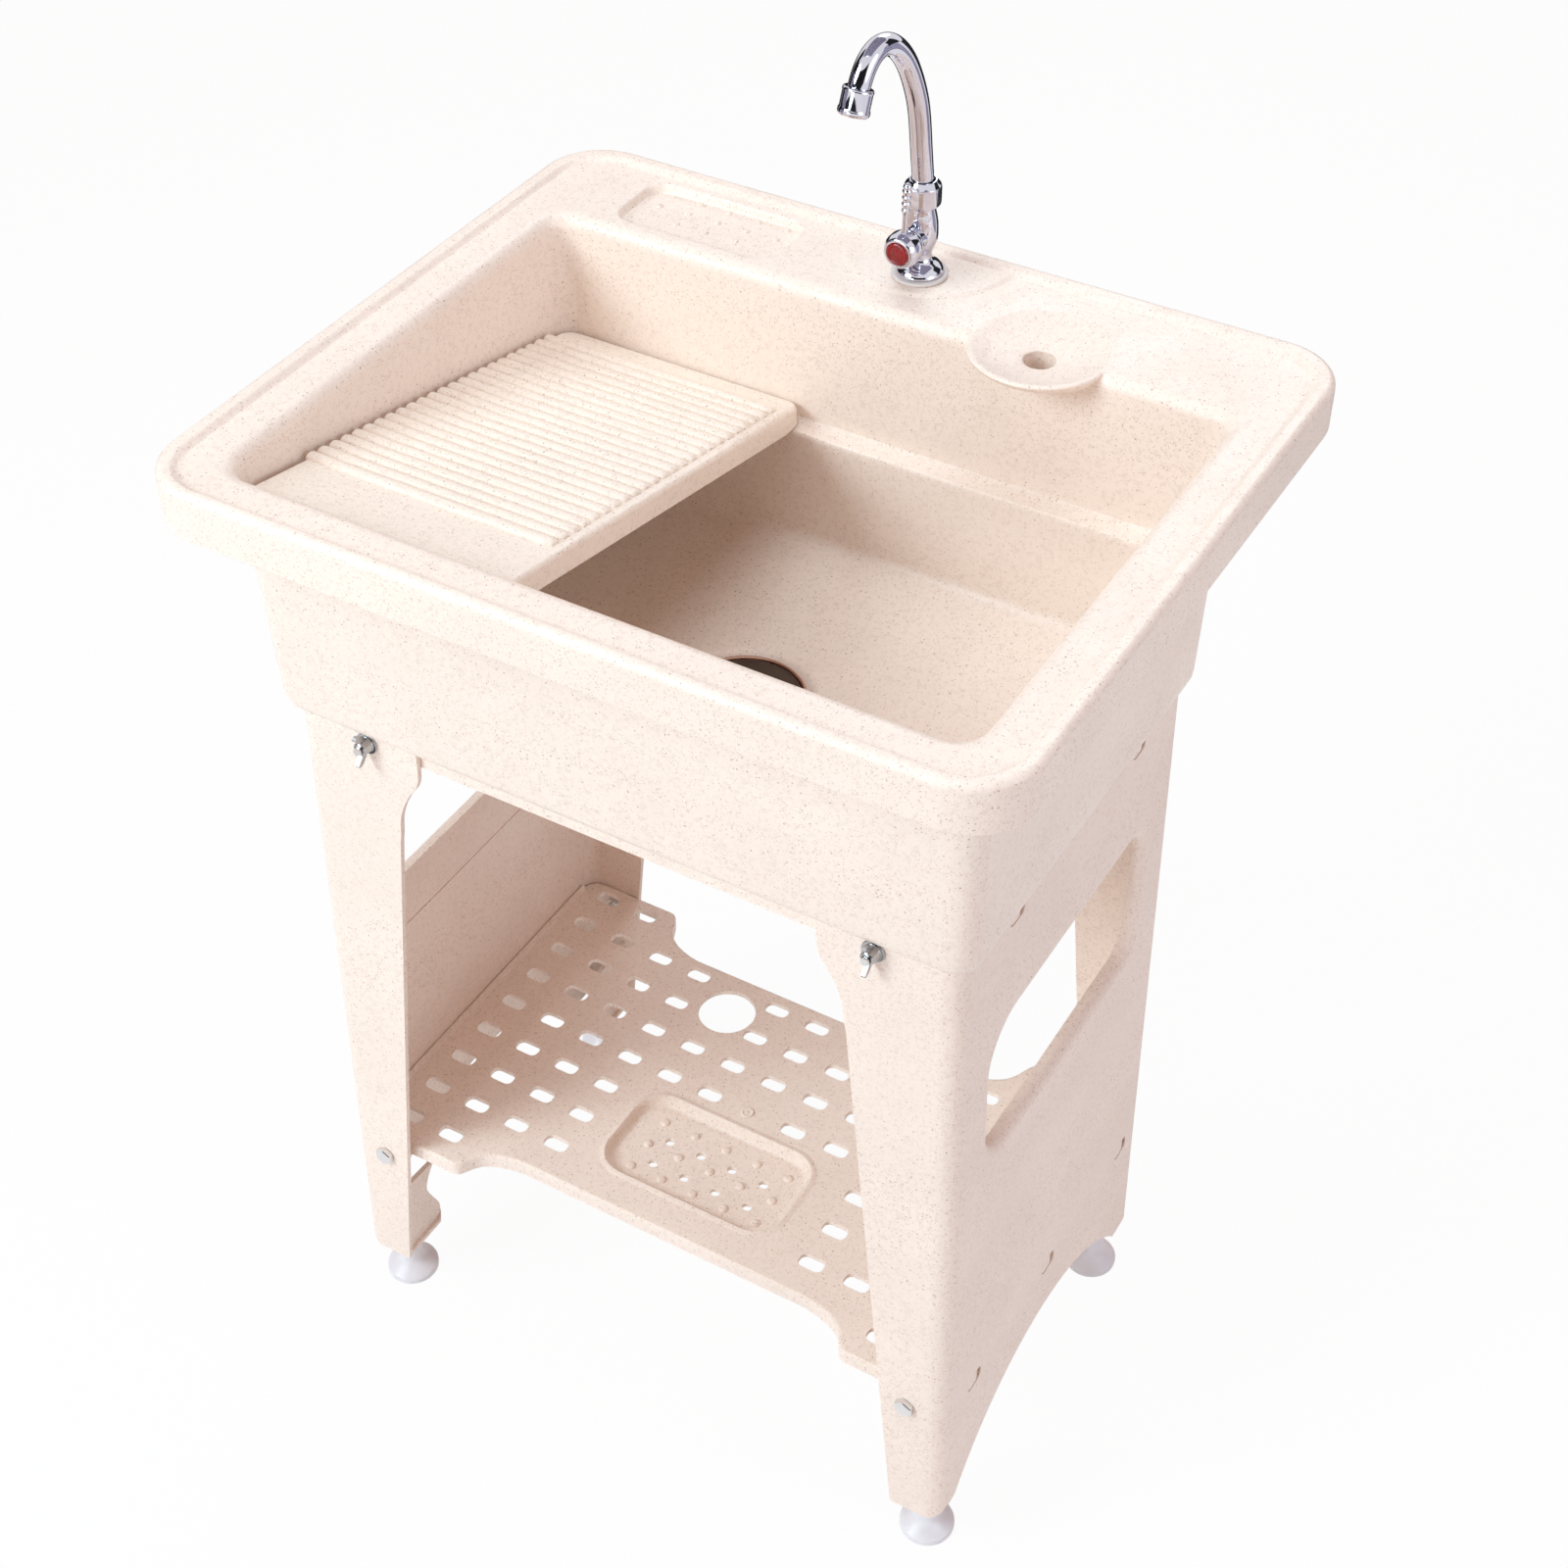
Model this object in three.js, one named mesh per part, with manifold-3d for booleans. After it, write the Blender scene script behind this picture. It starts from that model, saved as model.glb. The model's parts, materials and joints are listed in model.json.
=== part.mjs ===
// Utility laundry sink on a moulded stand: millimetres, +Z up, front faces -Y.
// The origin is on the floor under the middle of the basin rim.
import * as THREE from 'three';
import { mergeVertices } from 'three/addons/utils/BufferGeometryUtils.js';
import Module from 'manifold-3d';

const wasm = await Module();
wasm.setup();

// ---- driving dimensions -------------------------------------------------
const GAP = 0.3; // air left between pieces that rest on each other
const EMBED = 1; // how far one moulded feature runs into the next
const WALL = 4; // moulded wall of the stand
const RIM = { halfX: 300, halfY: 250, top: 825, skirt: 789, corner: 45 };
const DECK = { top: 821, under: 815, front: 163 };
const BASIN_STEP = 620; // the side panels end just under this step
const BAND = { halfX: 246.7, front: -183.7, back: 139.7, bottom: 611, corner: 11.7 };
const DRAIN = { x: -3, y: -17, seat: 605, under: 597, hole: 27, recess: 43.5 };
const TRAY = { x0: -222, x1: -94, y0: 169, y1: 229, floor: 814, corner: 16 };
const DISH = { x: 112, y: 166, outer: 49.5, inner: 45.5, floor: 814, top: 823, hole: 9.5 };
const TAP = { x: 4.4, y: 205.6, pad: 823, hole: 11, valveZ: 854 };
const STAND = { top: 620, foot: 48, halfTop: 251, halfFoot: 264.5, front: -188, frontFoot: -192 };
const STAND_BACK = 144;
const STAND_CORNER = 16;
const WINDOW = { y0: -138, y1: 95, z0: 402, z1: 518, corner: 25, cornerHigh: 35, depth: 14 };
const ARCH = { y: -30.5, z: -59.5, radius: 182.5 };
const SHELF = { top: 185, halfX: 256.8, front: -153, back: 102, earFront: -180.5, earBack: 139.6 };
const SHELF_LIP = 13; // depth of the shelf edge
const SHELF_BOSS = { x0: 219, x1: 241, z0: 163, front: -186.6 }; // bolt bosses under the shelf ears
const RECESS = { x0: -79, x1: 73, y0: -121, y1: -40, depth: 7, corner: 22 };
const BOARD = { x0: -253, x1: -59, y0: -204, y1: 150, z: 730, slope: 0.2, thick: 23, skin: 6 };
const BOARD_CORNERS = [13, 13, 16, 13];
const LEDGE = { front: 777, back: 716 };
const FOOT = { x: 242, front: -167, back: 124, pad: 21, collar: 9, stud: 4 };
const APRON_BOLT = { x: 191, z: 611, radius: 3, clear: 0.5 };
const SHELF_BOLT = { x: 230, z: 173, radius: 3, clear: 0.5 };
const ROUND = 20; // sides of a small round part
const BOLT_SIDES = 8;

// ---- outlines -----------------------------------------------------------
const degrees = (angle) => (angle * Math.PI) / 180;

// A rounded rectangle, counter-clockwise; radii run from the x1,y1 corner onwards.
function roundedOutline(x0, x1, y0, y1, radii, steps = 5) {
  const corners = [
    [x1, y1, -1, -1],
    [x0, y1, 1, -1],
    [x0, y0, 1, 1],
    [x1, y0, -1, 1],
  ];
  const points = [];
  corners.forEach(([x, y, sideX, sideY], corner) => {
    const radius = radii[corner];
    for (let step = 0; step <= steps; step += 1) {
      const angle = degrees(90 * corner + (90 * step) / steps);
      const cx = x + sideX * radius;
      const cy = y + sideY * radius;
      points.push([cx + radius * Math.cos(angle), cy + radius * Math.sin(angle)]);
    }
  });
  return points;
}

function circleOutline(x, y, radius, sides = ROUND) {
  const points = [];
  for (let side = 0; side < sides; side += 1) {
    const angle = degrees((360 * (side + 0.5)) / sides);
    points.push([x + radius * Math.cos(angle), y + radius * Math.sin(angle)]);
  }
  return points;
}

// A slot along x with tapered ends.
function slotOutline(x, y, length, width) {
  const end = length / 2;
  const half = width / 2;
  const shoulder = end - half * 0.6;
  return [
    [x + end, y],
    [x + shoulder, y + half],
    [x - shoulder, y + half],
    [x - end, y],
    [x - shoulder, y - half],
    [x + shoulder, y - half],
  ];
}

const atHeight = (outline, z) => outline.map(([x, y]) => [x, y, typeof z === 'function' ? z(y) : z]);

// ---- solids -------------------------------------------------------------
function geometryOf(positions, triangles) {
  const geometry = new THREE.BufferGeometry();
  geometry.setAttribute('position', new THREE.Float32BufferAttribute(positions, 3));
  geometry.setIndex(triangles);
  return geometry;
}

// Joins rings of equal length; the first and last are capped, or joined when looped.
function loft(rings, looped = false) {
  const count = rings[0].length;
  const positions = rings.flat(2);
  const triangles = [];
  const spans = looped ? rings.length : rings.length - 1;
  for (let ring = 0; ring < spans; ring += 1) {
    const low = ring * count;
    const high = ((ring + 1) % rings.length) * count;
    for (let point = 0; point < count; point += 1) {
      const next = (point + 1) % count;
      triangles.push(low + point, low + next, high + next);
      triangles.push(low + point, high + next, high + point);
    }
  }
  if (!looped) {
    capLoft(rings[0], 0, true, triangles);
    capLoft(rings[rings.length - 1], (rings.length - 1) * count, false, triangles);
  }
  return geometryOf(positions, triangles);
}

// Caps one end ring, flattened onto the plane it mostly lies in.
function capLoft(ring, start, reversed, triangles) {
  const flat = [0, 1, 2].map((axis) => {
    const values = ring.map((point) => point[axis]);
    return Math.max(...values) - Math.min(...values);
  });
  const thin = flat.indexOf(Math.min(...flat));
  const [across, up] = [[1, 2], [2, 0], [0, 1]][thin];
  const outline = ring.map((point) => new THREE.Vector2(point[across], point[up]));
  const forwards = THREE.ShapeUtils.area(outline) > 0;
  for (const [a, b, c] of THREE.ShapeUtils.triangulateShape(outline, [])) {
    const turn = forwards === reversed;
    triangles.push(start + a, start + (turn ? c : b), start + (turn ? b : c));
  }
}

function solidOf(geometry) {
  const bare = geometry.clone();
  bare.deleteAttribute('normal');
  bare.deleteAttribute('uv');
  const merged = mergeVertices(bare, 1e-4);
  const mesh = new wasm.Mesh({
    numProp: 3,
    vertProperties: new Float32Array(merged.getAttribute('position').array),
    triVerts: new Uint32Array(merged.index.array),
  });
  const solid = new wasm.Manifold(mesh);
  if (solid.volume() > 0) return solid;
  throw new Error('a solid is inside out');
}

function meshOf(solid) {
  const mesh = solid.getMesh();
  return geometryOf(Array.from(mesh.vertProperties), Array.from(mesh.triVerts));
}

const loftSolid = (rings, looped) => solidOf(loft(rings, looped));

function anticlockwise(outline) {
  const area = THREE.ShapeUtils.area(outline.map(([a, b]) => new THREE.Vector2(a, b)));
  return area > 0 ? outline : [...outline].reverse();
}

function prismZ(outline, z0, z1) {
  return loftSolid([z0, z1].map((z) => atHeight(anticlockwise(outline), z)));
}

// The outline is given as [y, z] and runs from x0 to x1.
function prismX(outline, x0, x1) {
  return loftSolid([x0, x1].map((x) => anticlockwise(outline).map(([y, z]) => [x, y, z])));
}

// The outline is given as [x, z] and runs from y0 to y1.
function prismY(outline, y0, y1) {
  return loftSolid([y1, y0].map((y) => anticlockwise(outline).map(([x, z]) => [x, y, z])));
}

function box(x0, x1, y0, y1, z0, z1) {
  return prismZ([[x0, y0], [x1, y0], [x1, y1], [x0, y1]], z0, z1);
}

const joined = (solids) => solids.reduce((all, solid) => all.add(solid));
const without = (solid, cuts) => cuts.reduce((rest, cut) => rest.subtract(cut), solid);

// A profile off the axis closes on its first point.
function latheOf(profile, sides) {
  const onAxis = profile[0][0] === 0;
  const outline = anticlockwise(profile);
  const closed = onAxis ? outline : [...outline, outline[0]];
  return new THREE.LatheGeometry(closed.map(([radius, up]) => new THREE.Vector2(radius, up)), sides);
}

// A turned part about the vertical axis through x, y: profile of [radius, z].
function turned(profile, x, y, sides = ROUND) {
  const geometry = latheOf(profile, sides);
  geometry.rotateX(Math.PI / 2);
  geometry.translate(x, y, 0);
  return solidOf(geometry);
}

// A turned part whose own axis points to the front, moved so the axis passes x, z.
function turnedToFront(profile, x, y, z, sides = ROUND) {
  const geometry = latheOf(profile, sides);
  geometry.rotateX(Math.PI);
  geometry.translate(x, y, z);
  return solidOf(geometry);
}

const mirrorX = (solid) => solid.mirror([1, 0, 0]);
const mirrorY = (solid) => solid.mirror([0, 1, 0]);

// A low tapered dot standing on a floor.
function bump(x, y, floor, radius) {
  return loftSolid([
    atHeight(circleOutline(x, y, radius, 6), floor - EMBED),
    atHeight(circleOutline(x, y, radius * 0.55, 6), floor + 1.6),
  ]);
}

// ---- basin --------------------------------------------------------------
function basinRing(halfX, front, back, frontRadius, backRadius, zFront, zBack = zFront) {
  const radii = [backRadius, backRadius, frontRadius, frontRadius];
  const slope = (zBack - zFront) / (back - front);
  const outline = roundedOutline(-halfX, halfX, front, back, radii);
  return atHeight(outline, (y) => zFront + slope * (y - front));
}

function drainRing(radius, z) {
  return atHeight(circleOutline(DRAIN.x, DRAIN.y, radius, 24), z);
}

// The profile runs from the drain hole outwards underneath, over the rim and down into the bowl.
function basinShell() {
  const band = BAND;
  const rim = RIM;
  const rings = [
    drainRing(DRAIN.hole, DRAIN.under),
    drainRing(46, DRAIN.under),
    drainRing(48, 602),
    basinRing(band.halfX - 5, band.front + 5, band.back - 5, 7, 7, 621),
    basinRing(band.halfX - 5, band.front + 5, band.back - 5, 7, 7, band.bottom),
    basinRing(band.halfX, band.front, band.back, band.corner, band.corner, band.bottom),
    basinRing(band.halfX, band.front, band.back, band.corner, band.corner, BASIN_STEP),
    basinRing(STAND.halfTop, STAND.front, STAND_BACK, STAND_CORNER, STAND_CORNER, BASIN_STEP),
    basinRing(257, -193.5, 145.5, 17, 18, 624.5),
    basinRing(260, -197, 146, 18, 19, 634),
    basinRing(262, -203, 147, 18, 20, 752, 700),
    basinRing(262.5, -213, 158, 24, 24, 771, 711),
    basinRing(263.5, -216.5, 160, 26, 24, DECK.under),
    basinRing(294, -244, 244, 39, 39, DECK.under),
    basinRing(294.5, -244.5, 244.5, 39.5, 39.5, rim.skirt),
    basinRing(299, -249, 249, 44, 44, rim.skirt),
    basinRing(rim.halfX, -rim.halfY, rim.halfY, rim.corner, rim.corner, rim.skirt + 2.5),
    basinRing(rim.halfX, -rim.halfY, rim.halfY, rim.corner, rim.corner, 819.5),
    basinRing(299.3, -249.3, 249.3, 44.3, 44.3, 822),
    basinRing(297.6, -247.6, 247.6, 42.6, 42.6, 824),
    basinRing(295, -245, 245, 40, 40, rim.top),
    basinRing(290, -243, 240, 37, 37, 824.8),
    basinRing(286, -241.5, 235, 36, 35, 823.8),
    basinRing(282, -240, 230, 36, 33, DECK.top),
    basinRing(266, -221, DECK.front, 25, 24, DECK.top),
    basinRing(261, -215.5, 158, 22, 20, 818.3),
    basinRing(257, -209, 153.5, 19, 16, 811),
    basinRing(255.4, -206.5, 152, 17, 15, LEDGE.front, LEDGE.back),
    basinRing(254.8, -196, 138, 12, 12, LEDGE.front - 3.5, LEDGE.back - 3.5),
    basinRing(253.5, -190.5, 137, 13, 12, 636),
    basinRing(250.5, -187.5, 134.5, 13, 14, 629),
    basinRing(243, -180, 127, 14, 16, 626.5),
    drainRing(DRAIN.recess + 3, 608.5),
    drainRing(DRAIN.recess, DRAIN.seat),
    drainRing(DRAIN.hole, DRAIN.seat),
  ];
  return loftSolid(rings, true);
}

function trayOutline(inset) {
  const { x0, x1, y0, y1, corner } = TRAY;
  const radius = corner - inset;
  return roundedOutline(x0 + inset, x1 - inset, y0 + inset, y1 - inset, Array(4).fill(radius), 3);
}

function trayBumps() {
  const rows = [
    { y: 228, first: -182, count: 4 },
    { y: 212, first: -206, count: 5 },
    { y: 196, first: -182, count: 3 },
    { y: 180, first: -182, count: 3 },
  ];
  const bumps = [];
  for (const { y, first, count } of rows) {
    for (let index = 0; index < count; index += 1) {
      const x = first + 24 * index;
      bumps.push(bump(x, y - 4, TRAY.floor, 2.5));
    }
  }
  return bumps;
}

function basin() {
  const dishShell = turned([[0, 806], [DISH.outer - 12, 806], [DISH.outer - 3, DISH.floor],
    [DISH.outer, 819], [DISH.outer - 1, DISH.top], [0, DISH.top]], DISH.x, DISH.y, 24);
  const dishBowl = turned([[0, DISH.floor], [DISH.inner - 4, DISH.floor],
    [DISH.inner, 818], [DISH.inner + 1, DISH.top + EMBED], [0, DISH.top + EMBED]], DISH.x, DISH.y, 24);
  const dishHole = prismZ(circleOutline(DISH.x, DISH.y, DISH.hole, 12), 790, DISH.top);
  const pad = prismZ(circleOutline(-3, 240, 63, 30), DECK.under + EMBED, TAP.pad);
  const padTrim = box(-80, 80, DECK.front + 6, 229.5, DECK.under, TAP.pad + EMBED);
  const trayPan = prismZ(trayOutline(-3), TRAY.floor - WALL, DECK.under + EMBED);
  const trayCut = loftSolid([atHeight(trayOutline(2), TRAY.floor), atHeight(trayOutline(0), DECK.top + 1)]);
  const tapHole = prismZ(circleOutline(TAP.x, TAP.y, TAP.hole), 800, 830);
  const lugs = [];
  const lugHoles = [];
  for (const side of [-1, 1]) {
    const x = side * APRON_BOLT.x;
    const hole = circleOutline(x, APRON_BOLT.z, APRON_BOLT.radius + APRON_BOLT.clear, BOLT_SIDES);
    lugs.push(box(x - 13, x + 13, BAND.front, BAND.front + 8, 599, 621.5));
    lugs.push(box(x - 13, x + 13, BAND.back - 8, BAND.back, 599, 621.5));
    lugHoles.push(prismY(hole, BAND.front - 5, BAND.back + 5));
  }
  const whole = joined([basinShell(), dishShell, pad.intersect(padTrim), trayPan, ...lugs]);
  const cut = without(whole, [dishBowl, dishHole, trayCut, tapHole, ...lugHoles]);
  return joined([cut, ...trayBumps()]);
}

// ---- washboard ----------------------------------------------------------
const boardTop = (y) => BOARD.z + BOARD.slope * (BOARD.y1 - y);

function boardRing(inset, below) {
  const { x0, x1, y0, y1 } = BOARD;
  const radii = BOARD_CORNERS.map((radius) => radius - inset);
  const outline = roundedOutline(x0 + inset, x1 - inset, y0 + inset, y1 - inset, radii, 3);
  return atHeight(outline, (y) => boardTop(y) - below);
}

function boardRib(y) {
  const section = [[5.4, -2.5], [3, 2.4], [0, 3.4], [-3, 2.4], [-5.4, -2.5]];
  const stations = [
    { x: BOARD.x0 + 0.8, size: 0.9 },
    { x: -71, size: 1 },
    { x: -66, size: 0.4 },
  ];
  const rings = stations.map(({ x, size }) => section.map(([across, up]) => {
    const ribY = y + across * size;
    const height = up > 0 ? up * size : up;
    return [x, ribY, boardTop(ribY) + height];
  }));
  return loftSolid(rings);
}

function washboard() {
  const slab = loftSolid([boardRing(0, BOARD.thick), boardRing(0, 3), boardRing(0.9, 0.8), boardRing(3, 0)]);
  const hollow = loftSolid([boardRing(WALL, BOARD.thick + EMBED), boardRing(WALL, BOARD.skin)]);
  const ribs = [];
  for (let index = 0; index < 25; index += 1) ribs.push(boardRib(-140 + 11.25 * index));
  const overLedge = box(-300, 0, 122, 160, 600, LEDGE.back + GAP);
  const frontLedge = box(-300, 0, -220, -184, 600, LEDGE.front + GAP);
  return without(joined([slab.subtract(hollow), ...ribs]), [overLedge, frontLedge]);
}

// ---- side panels --------------------------------------------------------
const standHalf = (z) => {
  const drop = (STAND.top - z) / (STAND.top - STAND.foot);
  return STAND.halfTop + (STAND.halfFoot - STAND.halfTop) * drop;
};
const standFront = (z) => {
  const drop = (STAND.top - z) / (STAND.top - STAND.foot);
  return STAND.front + (STAND.frontFoot - STAND.front) * drop;
};

function standRing(inset, z) {
  const radius = STAND_CORNER - inset;
  const outline = roundedOutline(130 - inset, standHalf(z) - inset, standFront(z) + inset, STAND_BACK - inset,
    [radius, 1, 1, radius]);
  return atHeight(outline, z);
}

// The free edge of the front and back flanges, with everything nearer the middle.
const FLANGE_CUT = [
  [0, 640], [0, 20], [223, 20], [222, 48], [209, 182], [177, 525], [175, 540], [170, 552], [165.5, 567],
  [162, 577], [156, 584], [153, 592], [153, 640],
];

function windowOutline(grow) {
  const { y0, y1, z0, z1, corner, cornerHigh } = WINDOW;
  const radii = [corner, cornerHigh, corner, corner].map((radius) => radius + grow);
  return roundedOutline(y0 - grow, y1 + grow, z0 - grow, z1 + grow, radii, 4);
}

// A shelf for the foot stud inside the leg, with a web that stiffens it.
function footBox(outer) {
  const front = STAND.frontFoot + EMBED;
  const back = FOOT.front + 27;
  const inner = STAND.halfFoot - 42;
  const plate = prismZ([[inner, front], [STAND.halfFoot, front], [STAND.halfFoot, back],
    [inner + 10, back], [inner + 3, back - 3], [inner, back - 10]], STAND.foot, STAND.foot + WALL);
  const web = prismX([[front, STAND.foot], [back - 6, STAND.foot], [back - 5, 62], [-156, 98], [-146, 116],
    [front + 4, 122]], inner + 3, inner + 3 + WALL);
  const body = joined([plate, web]).intersect(outer);
  return body.subtract(prismZ(circleOutline(FOOT.x, FOOT.front, FOOT.stud + 0.7, 12), 40, 60));
}

function sidePanel() {
  const outer = loftSolid([standRing(0, STAND.foot), standRing(0, STAND.top - GAP)]);
  const inner = loftSolid([standRing(WALL, 20), standRing(WALL, STAND.top + 10)]);
  const frame = prismX(windowOutline(WALL), STAND.halfTop - WINDOW.depth, STAND.halfFoot).intersect(outer);
  const open = prismX(windowOutline(0), 200, 300);
  const flare = loftSolid([[STAND.halfTop + 0.5, 0], [STAND.halfFoot + 1, 9]].map(([x, grow]) => (
    windowOutline(grow).map(([y, z]) => [x, y, z]))));
  const arch = prismX(circleOutline(ARCH.y, ARCH.z, ARCH.radius, 48), 200, 300);
  const heel = [[STAND.halfFoot + 1, 47], [STAND.halfFoot + 1, 61], [STAND.halfFoot - 0.6, 58],
    [STAND.halfFoot - 2.6, 53], [STAND.halfFoot - 6.5, 49.5], [STAND.halfFoot - 12, 47]];
  const slots = [];
  for (const y of [-113, 68]) slots.push([y, 609]);
  for (const y of [-142, -22, 106]) slots.push([y, 170]);
  const slotCuts = slots.map(([y, z]) => prismX(slotOutline(y, z, 11, 4), 200, 300));
  const shell = without(outer.subtract(inner), [prismY(FLANGE_CUT, -300, 300), arch]);
  const backBox = mirrorY(footBox(mirrorY(outer).translate([0, STAND_BACK + STAND.frontFoot, 0])))
    .translate([0, FOOT.back + FOOT.front, 0]);
  const boltHoles = [
    prismY(circleOutline(APRON_BOLT.x, APRON_BOLT.z, APRON_BOLT.radius + APRON_BOLT.clear, 12), -300, 300),
    prismY(circleOutline(SHELF_BOLT.x, SHELF_BOLT.z, SHELF_BOLT.radius + SHELF_BOLT.clear, 12), -300, 300),
  ];
  const whole = joined([shell, frame, footBox(outer), backBox.intersect(outer)]);
  return without(whole, [open, flare, prismY(heel, -300, 300), ...slotCuts, ...boltHoles]);
}

// ---- shelf --------------------------------------------------------------
// How far across and how far out the shelf edge swings from the middle to an ear.
const SHELF_SWING = [[124, 0], [140, 0.09], [152, 0.24], [160, 0.44], [165, 0.71], [169, 0.93], [175, 1]];

function shelfOutline(inset) {
  const { halfX, front, back, earFront, earBack } = SHELF;
  const x1 = halfX - inset;
  const swing = (edge, ear) => SHELF_SWING.map(([x, share]) => [x + inset, edge + (ear - edge) * share]);
  const corner = (cy, first) => [0, 1, 2, 3].map((step) => {
    const angle = degrees(first + 30 * step);
    const radius = 13 - inset;
    return [x1 - radius + radius * Math.cos(angle), cy + radius * Math.sin(angle)];
  });
  const right = [
    ...swing(front + inset, earFront + inset),
    ...corner(earFront + 13, 270),
    ...corner(earBack - 13, 0),
    ...swing(back - inset, earBack - inset).reverse(),
  ];
  const left = right.map(([x, y]) => [-x, y]).reverse();
  return [...right, ...left];
}

function shelfSlots() {
  const pitch = { x: 37.9, y: 35.2 };
  const outside = [3, 4, 5, 6];
  const rows = [
    { columns: [5, 6] },
    { columns: outside },
    { columns: outside },
    { columns: outside },
    { columns: [1, 2, ...outside] },
    { columns: [0, 1, 2, ...outside] },
    { columns: [0, 1, 2, ...outside] },
    { columns: [0, 1, 2, ...outside] },
    { columns: [5, 6] },
  ];
  const slots = [];
  rows.forEach(({ columns }, row) => {
    const y = -159.7 + pitch.y * row;
    for (const column of columns) {
      for (const side of column ? [-1, 1] : [1]) {
        const x = side * column * pitch.x - 1;
        const overHole = column === 2 && side < 0 && row > 5;
        if (!overHole) slots.push(slotOutline(x, y, 18, 9));
      }
    }
  });
  return slots;
}

function plateWithHoles(outline, holes, z0, z1) {
  const shape = new THREE.Shape(outline.map(([x, y]) => new THREE.Vector2(x, y)));
  for (const hole of holes) shape.holes.push(new THREE.Path(hole.map(([x, y]) => new THREE.Vector2(x, y))));
  const geometry = new THREE.ExtrudeGeometry(shape, { depth: z1 - z0, bevelEnabled: false });
  geometry.translate(0, 0, z0);
  return solidOf(geometry);
}

function recessOutline(grow) {
  const { x0, x1, y0, y1, corner } = RECESS;
  const radii = Array(4).fill(corner + grow);
  return roundedOutline(x0 - grow, x1 + grow, y0 - grow, y1 + grow, radii, 3);
}

function recessPan() {
  const floor = SHELF.top - RECESS.depth;
  const holes = [];
  for (const y of [-72.5, -97.5]) {
    for (const x of [-42.5, -14, 14, 42.5]) holes.push(slotOutline(x, y, 6.5, 5));
  }
  const bottom = plateWithHoles(recessOutline(1), holes, floor - WALL, floor);
  const outside = prismZ(recessOutline(WALL - 1), floor - WALL, SHELF.top - WALL + EMBED);
  const wall = outside.subtract(loftSolid([atHeight(recessOutline(-1.5), floor - WALL - EMBED),
    atHeight(recessOutline(0), SHELF.top)]));
  const bumps = [];
  for (const y of [-58, -83, -108]) {
    for (let column = -2; column <= 2; column += 1) {
      bumps.push(bump(28 * column, y, floor, 2.8));
    }
  }
  return joined([bottom, wall, ...bumps]);
}

function shelf() {
  const { top, halfX } = SHELF;
  const holes = [...shelfSlots(), circleOutline(-71, 60, 24), recessOutline(0)];
  const plate = plateWithHoles(shelfOutline(0), holes, top - WALL, top);
  const edge = prismZ(shelfOutline(0), top - SHELF_LIP, top - WALL + EMBED)
    .subtract(prismZ(shelfOutline(WALL), top - SHELF_LIP - EMBED, top));
  const { x0, x1, z0, front } = SHELF_BOSS;
  const bosses = [];
  for (const side of [-1, 1]) {
    const [left, right] = side < 0 ? [-x1, -x0] : [x0, x1];
    bosses.push(box(left, right, front, SHELF.earFront + WALL, z0, top - EMBED));
    bosses.push(box(left, right, SHELF.earBack - WALL, SHELF.earBack, z0, top - EMBED));
  }
  const lips = [-1, 1].map((side) => prismY([[side * halfX, top - EMBED], [side * halfX, top + 4.5],
    [side * (halfX - 2.5), top + 4.5], [side * (halfX - 3.5), top - EMBED]], -172, 125));
  const pip = turned([[0, top - EMBED], [4.5, top - EMBED], [4.2, top + 0.8], [2.6, top + 0.8], [2.2, top + 0.3],
    [1.2, top + 0.3], [0.6, top + 0.9], [0, top + 0.9]], -2.5, -21.5, 12);
  const body = joined([plate, edge, ...bosses, ...lips, recessPan(), pip]);
  const holesForBolts = [-1, 1].map((side) => prismY(
    circleOutline(side * SHELF_BOLT.x, SHELF_BOLT.z, SHELF_BOLT.radius + SHELF_BOLT.clear, 12),
    -300,
    300,
  ));
  return without(body, holesForBolts);
}

// ---- feet ---------------------------------------------------------------
function footPad(x, y) {
  const profile = [[0, 0], [FOOT.pad, 0], [FOOT.pad, 5], [FOOT.collar + 1, 14], [FOOT.collar, 37],
    [FOOT.stud + GAP, 37], [FOOT.stud + GAP, 20], [0, 20]];
  return turned(profile, x, y, 16);
}

function footStud(x, y) {
  return turned([[0, 20 + GAP], [FOOT.stud, 20 + GAP], [FOOT.stud, 84], [FOOT.stud - 1, 85], [0, 85]], x, y, 12);
}

function footInsert(x, y) {
  const seat = STAND.foot + WALL + GAP;
  return prismZ(circleOutline(x, y, 8.5, 6), seat, seat + 9)
    .subtract(prismZ(circleOutline(x, y, FOOT.stud + GAP, 12), seat - 1, seat + 10));
}

// ---- fasteners ----------------------------------------------------------
// A bolt along y: the head sits at yHead and the shank runs towards yTip.
function boltAlongY(x, z, yHead, yTip, headRadius, headDepth, radius, headSides = 6) {
  const towards = Math.sign(yTip - yHead);
  const span = (a, b) => [Math.min(a, b), Math.max(a, b)];
  const head = prismY(circleOutline(x, z, headRadius, headSides), ...span(yHead, yHead - towards * headDepth));
  const shank = prismY(circleOutline(x, z, radius, BOLT_SIDES), ...span(yHead - towards * EMBED, yTip));
  return head.add(shank);
}

function nutAlongY(x, z, y0, y1, outerRadius, radius) {
  return prismY(circleOutline(x, z, outerRadius, 6), y0, y1)
    .subtract(prismY(circleOutline(x, z, radius + GAP, BOLT_SIDES), y0 - 1, y1 + 1));
}

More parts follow.
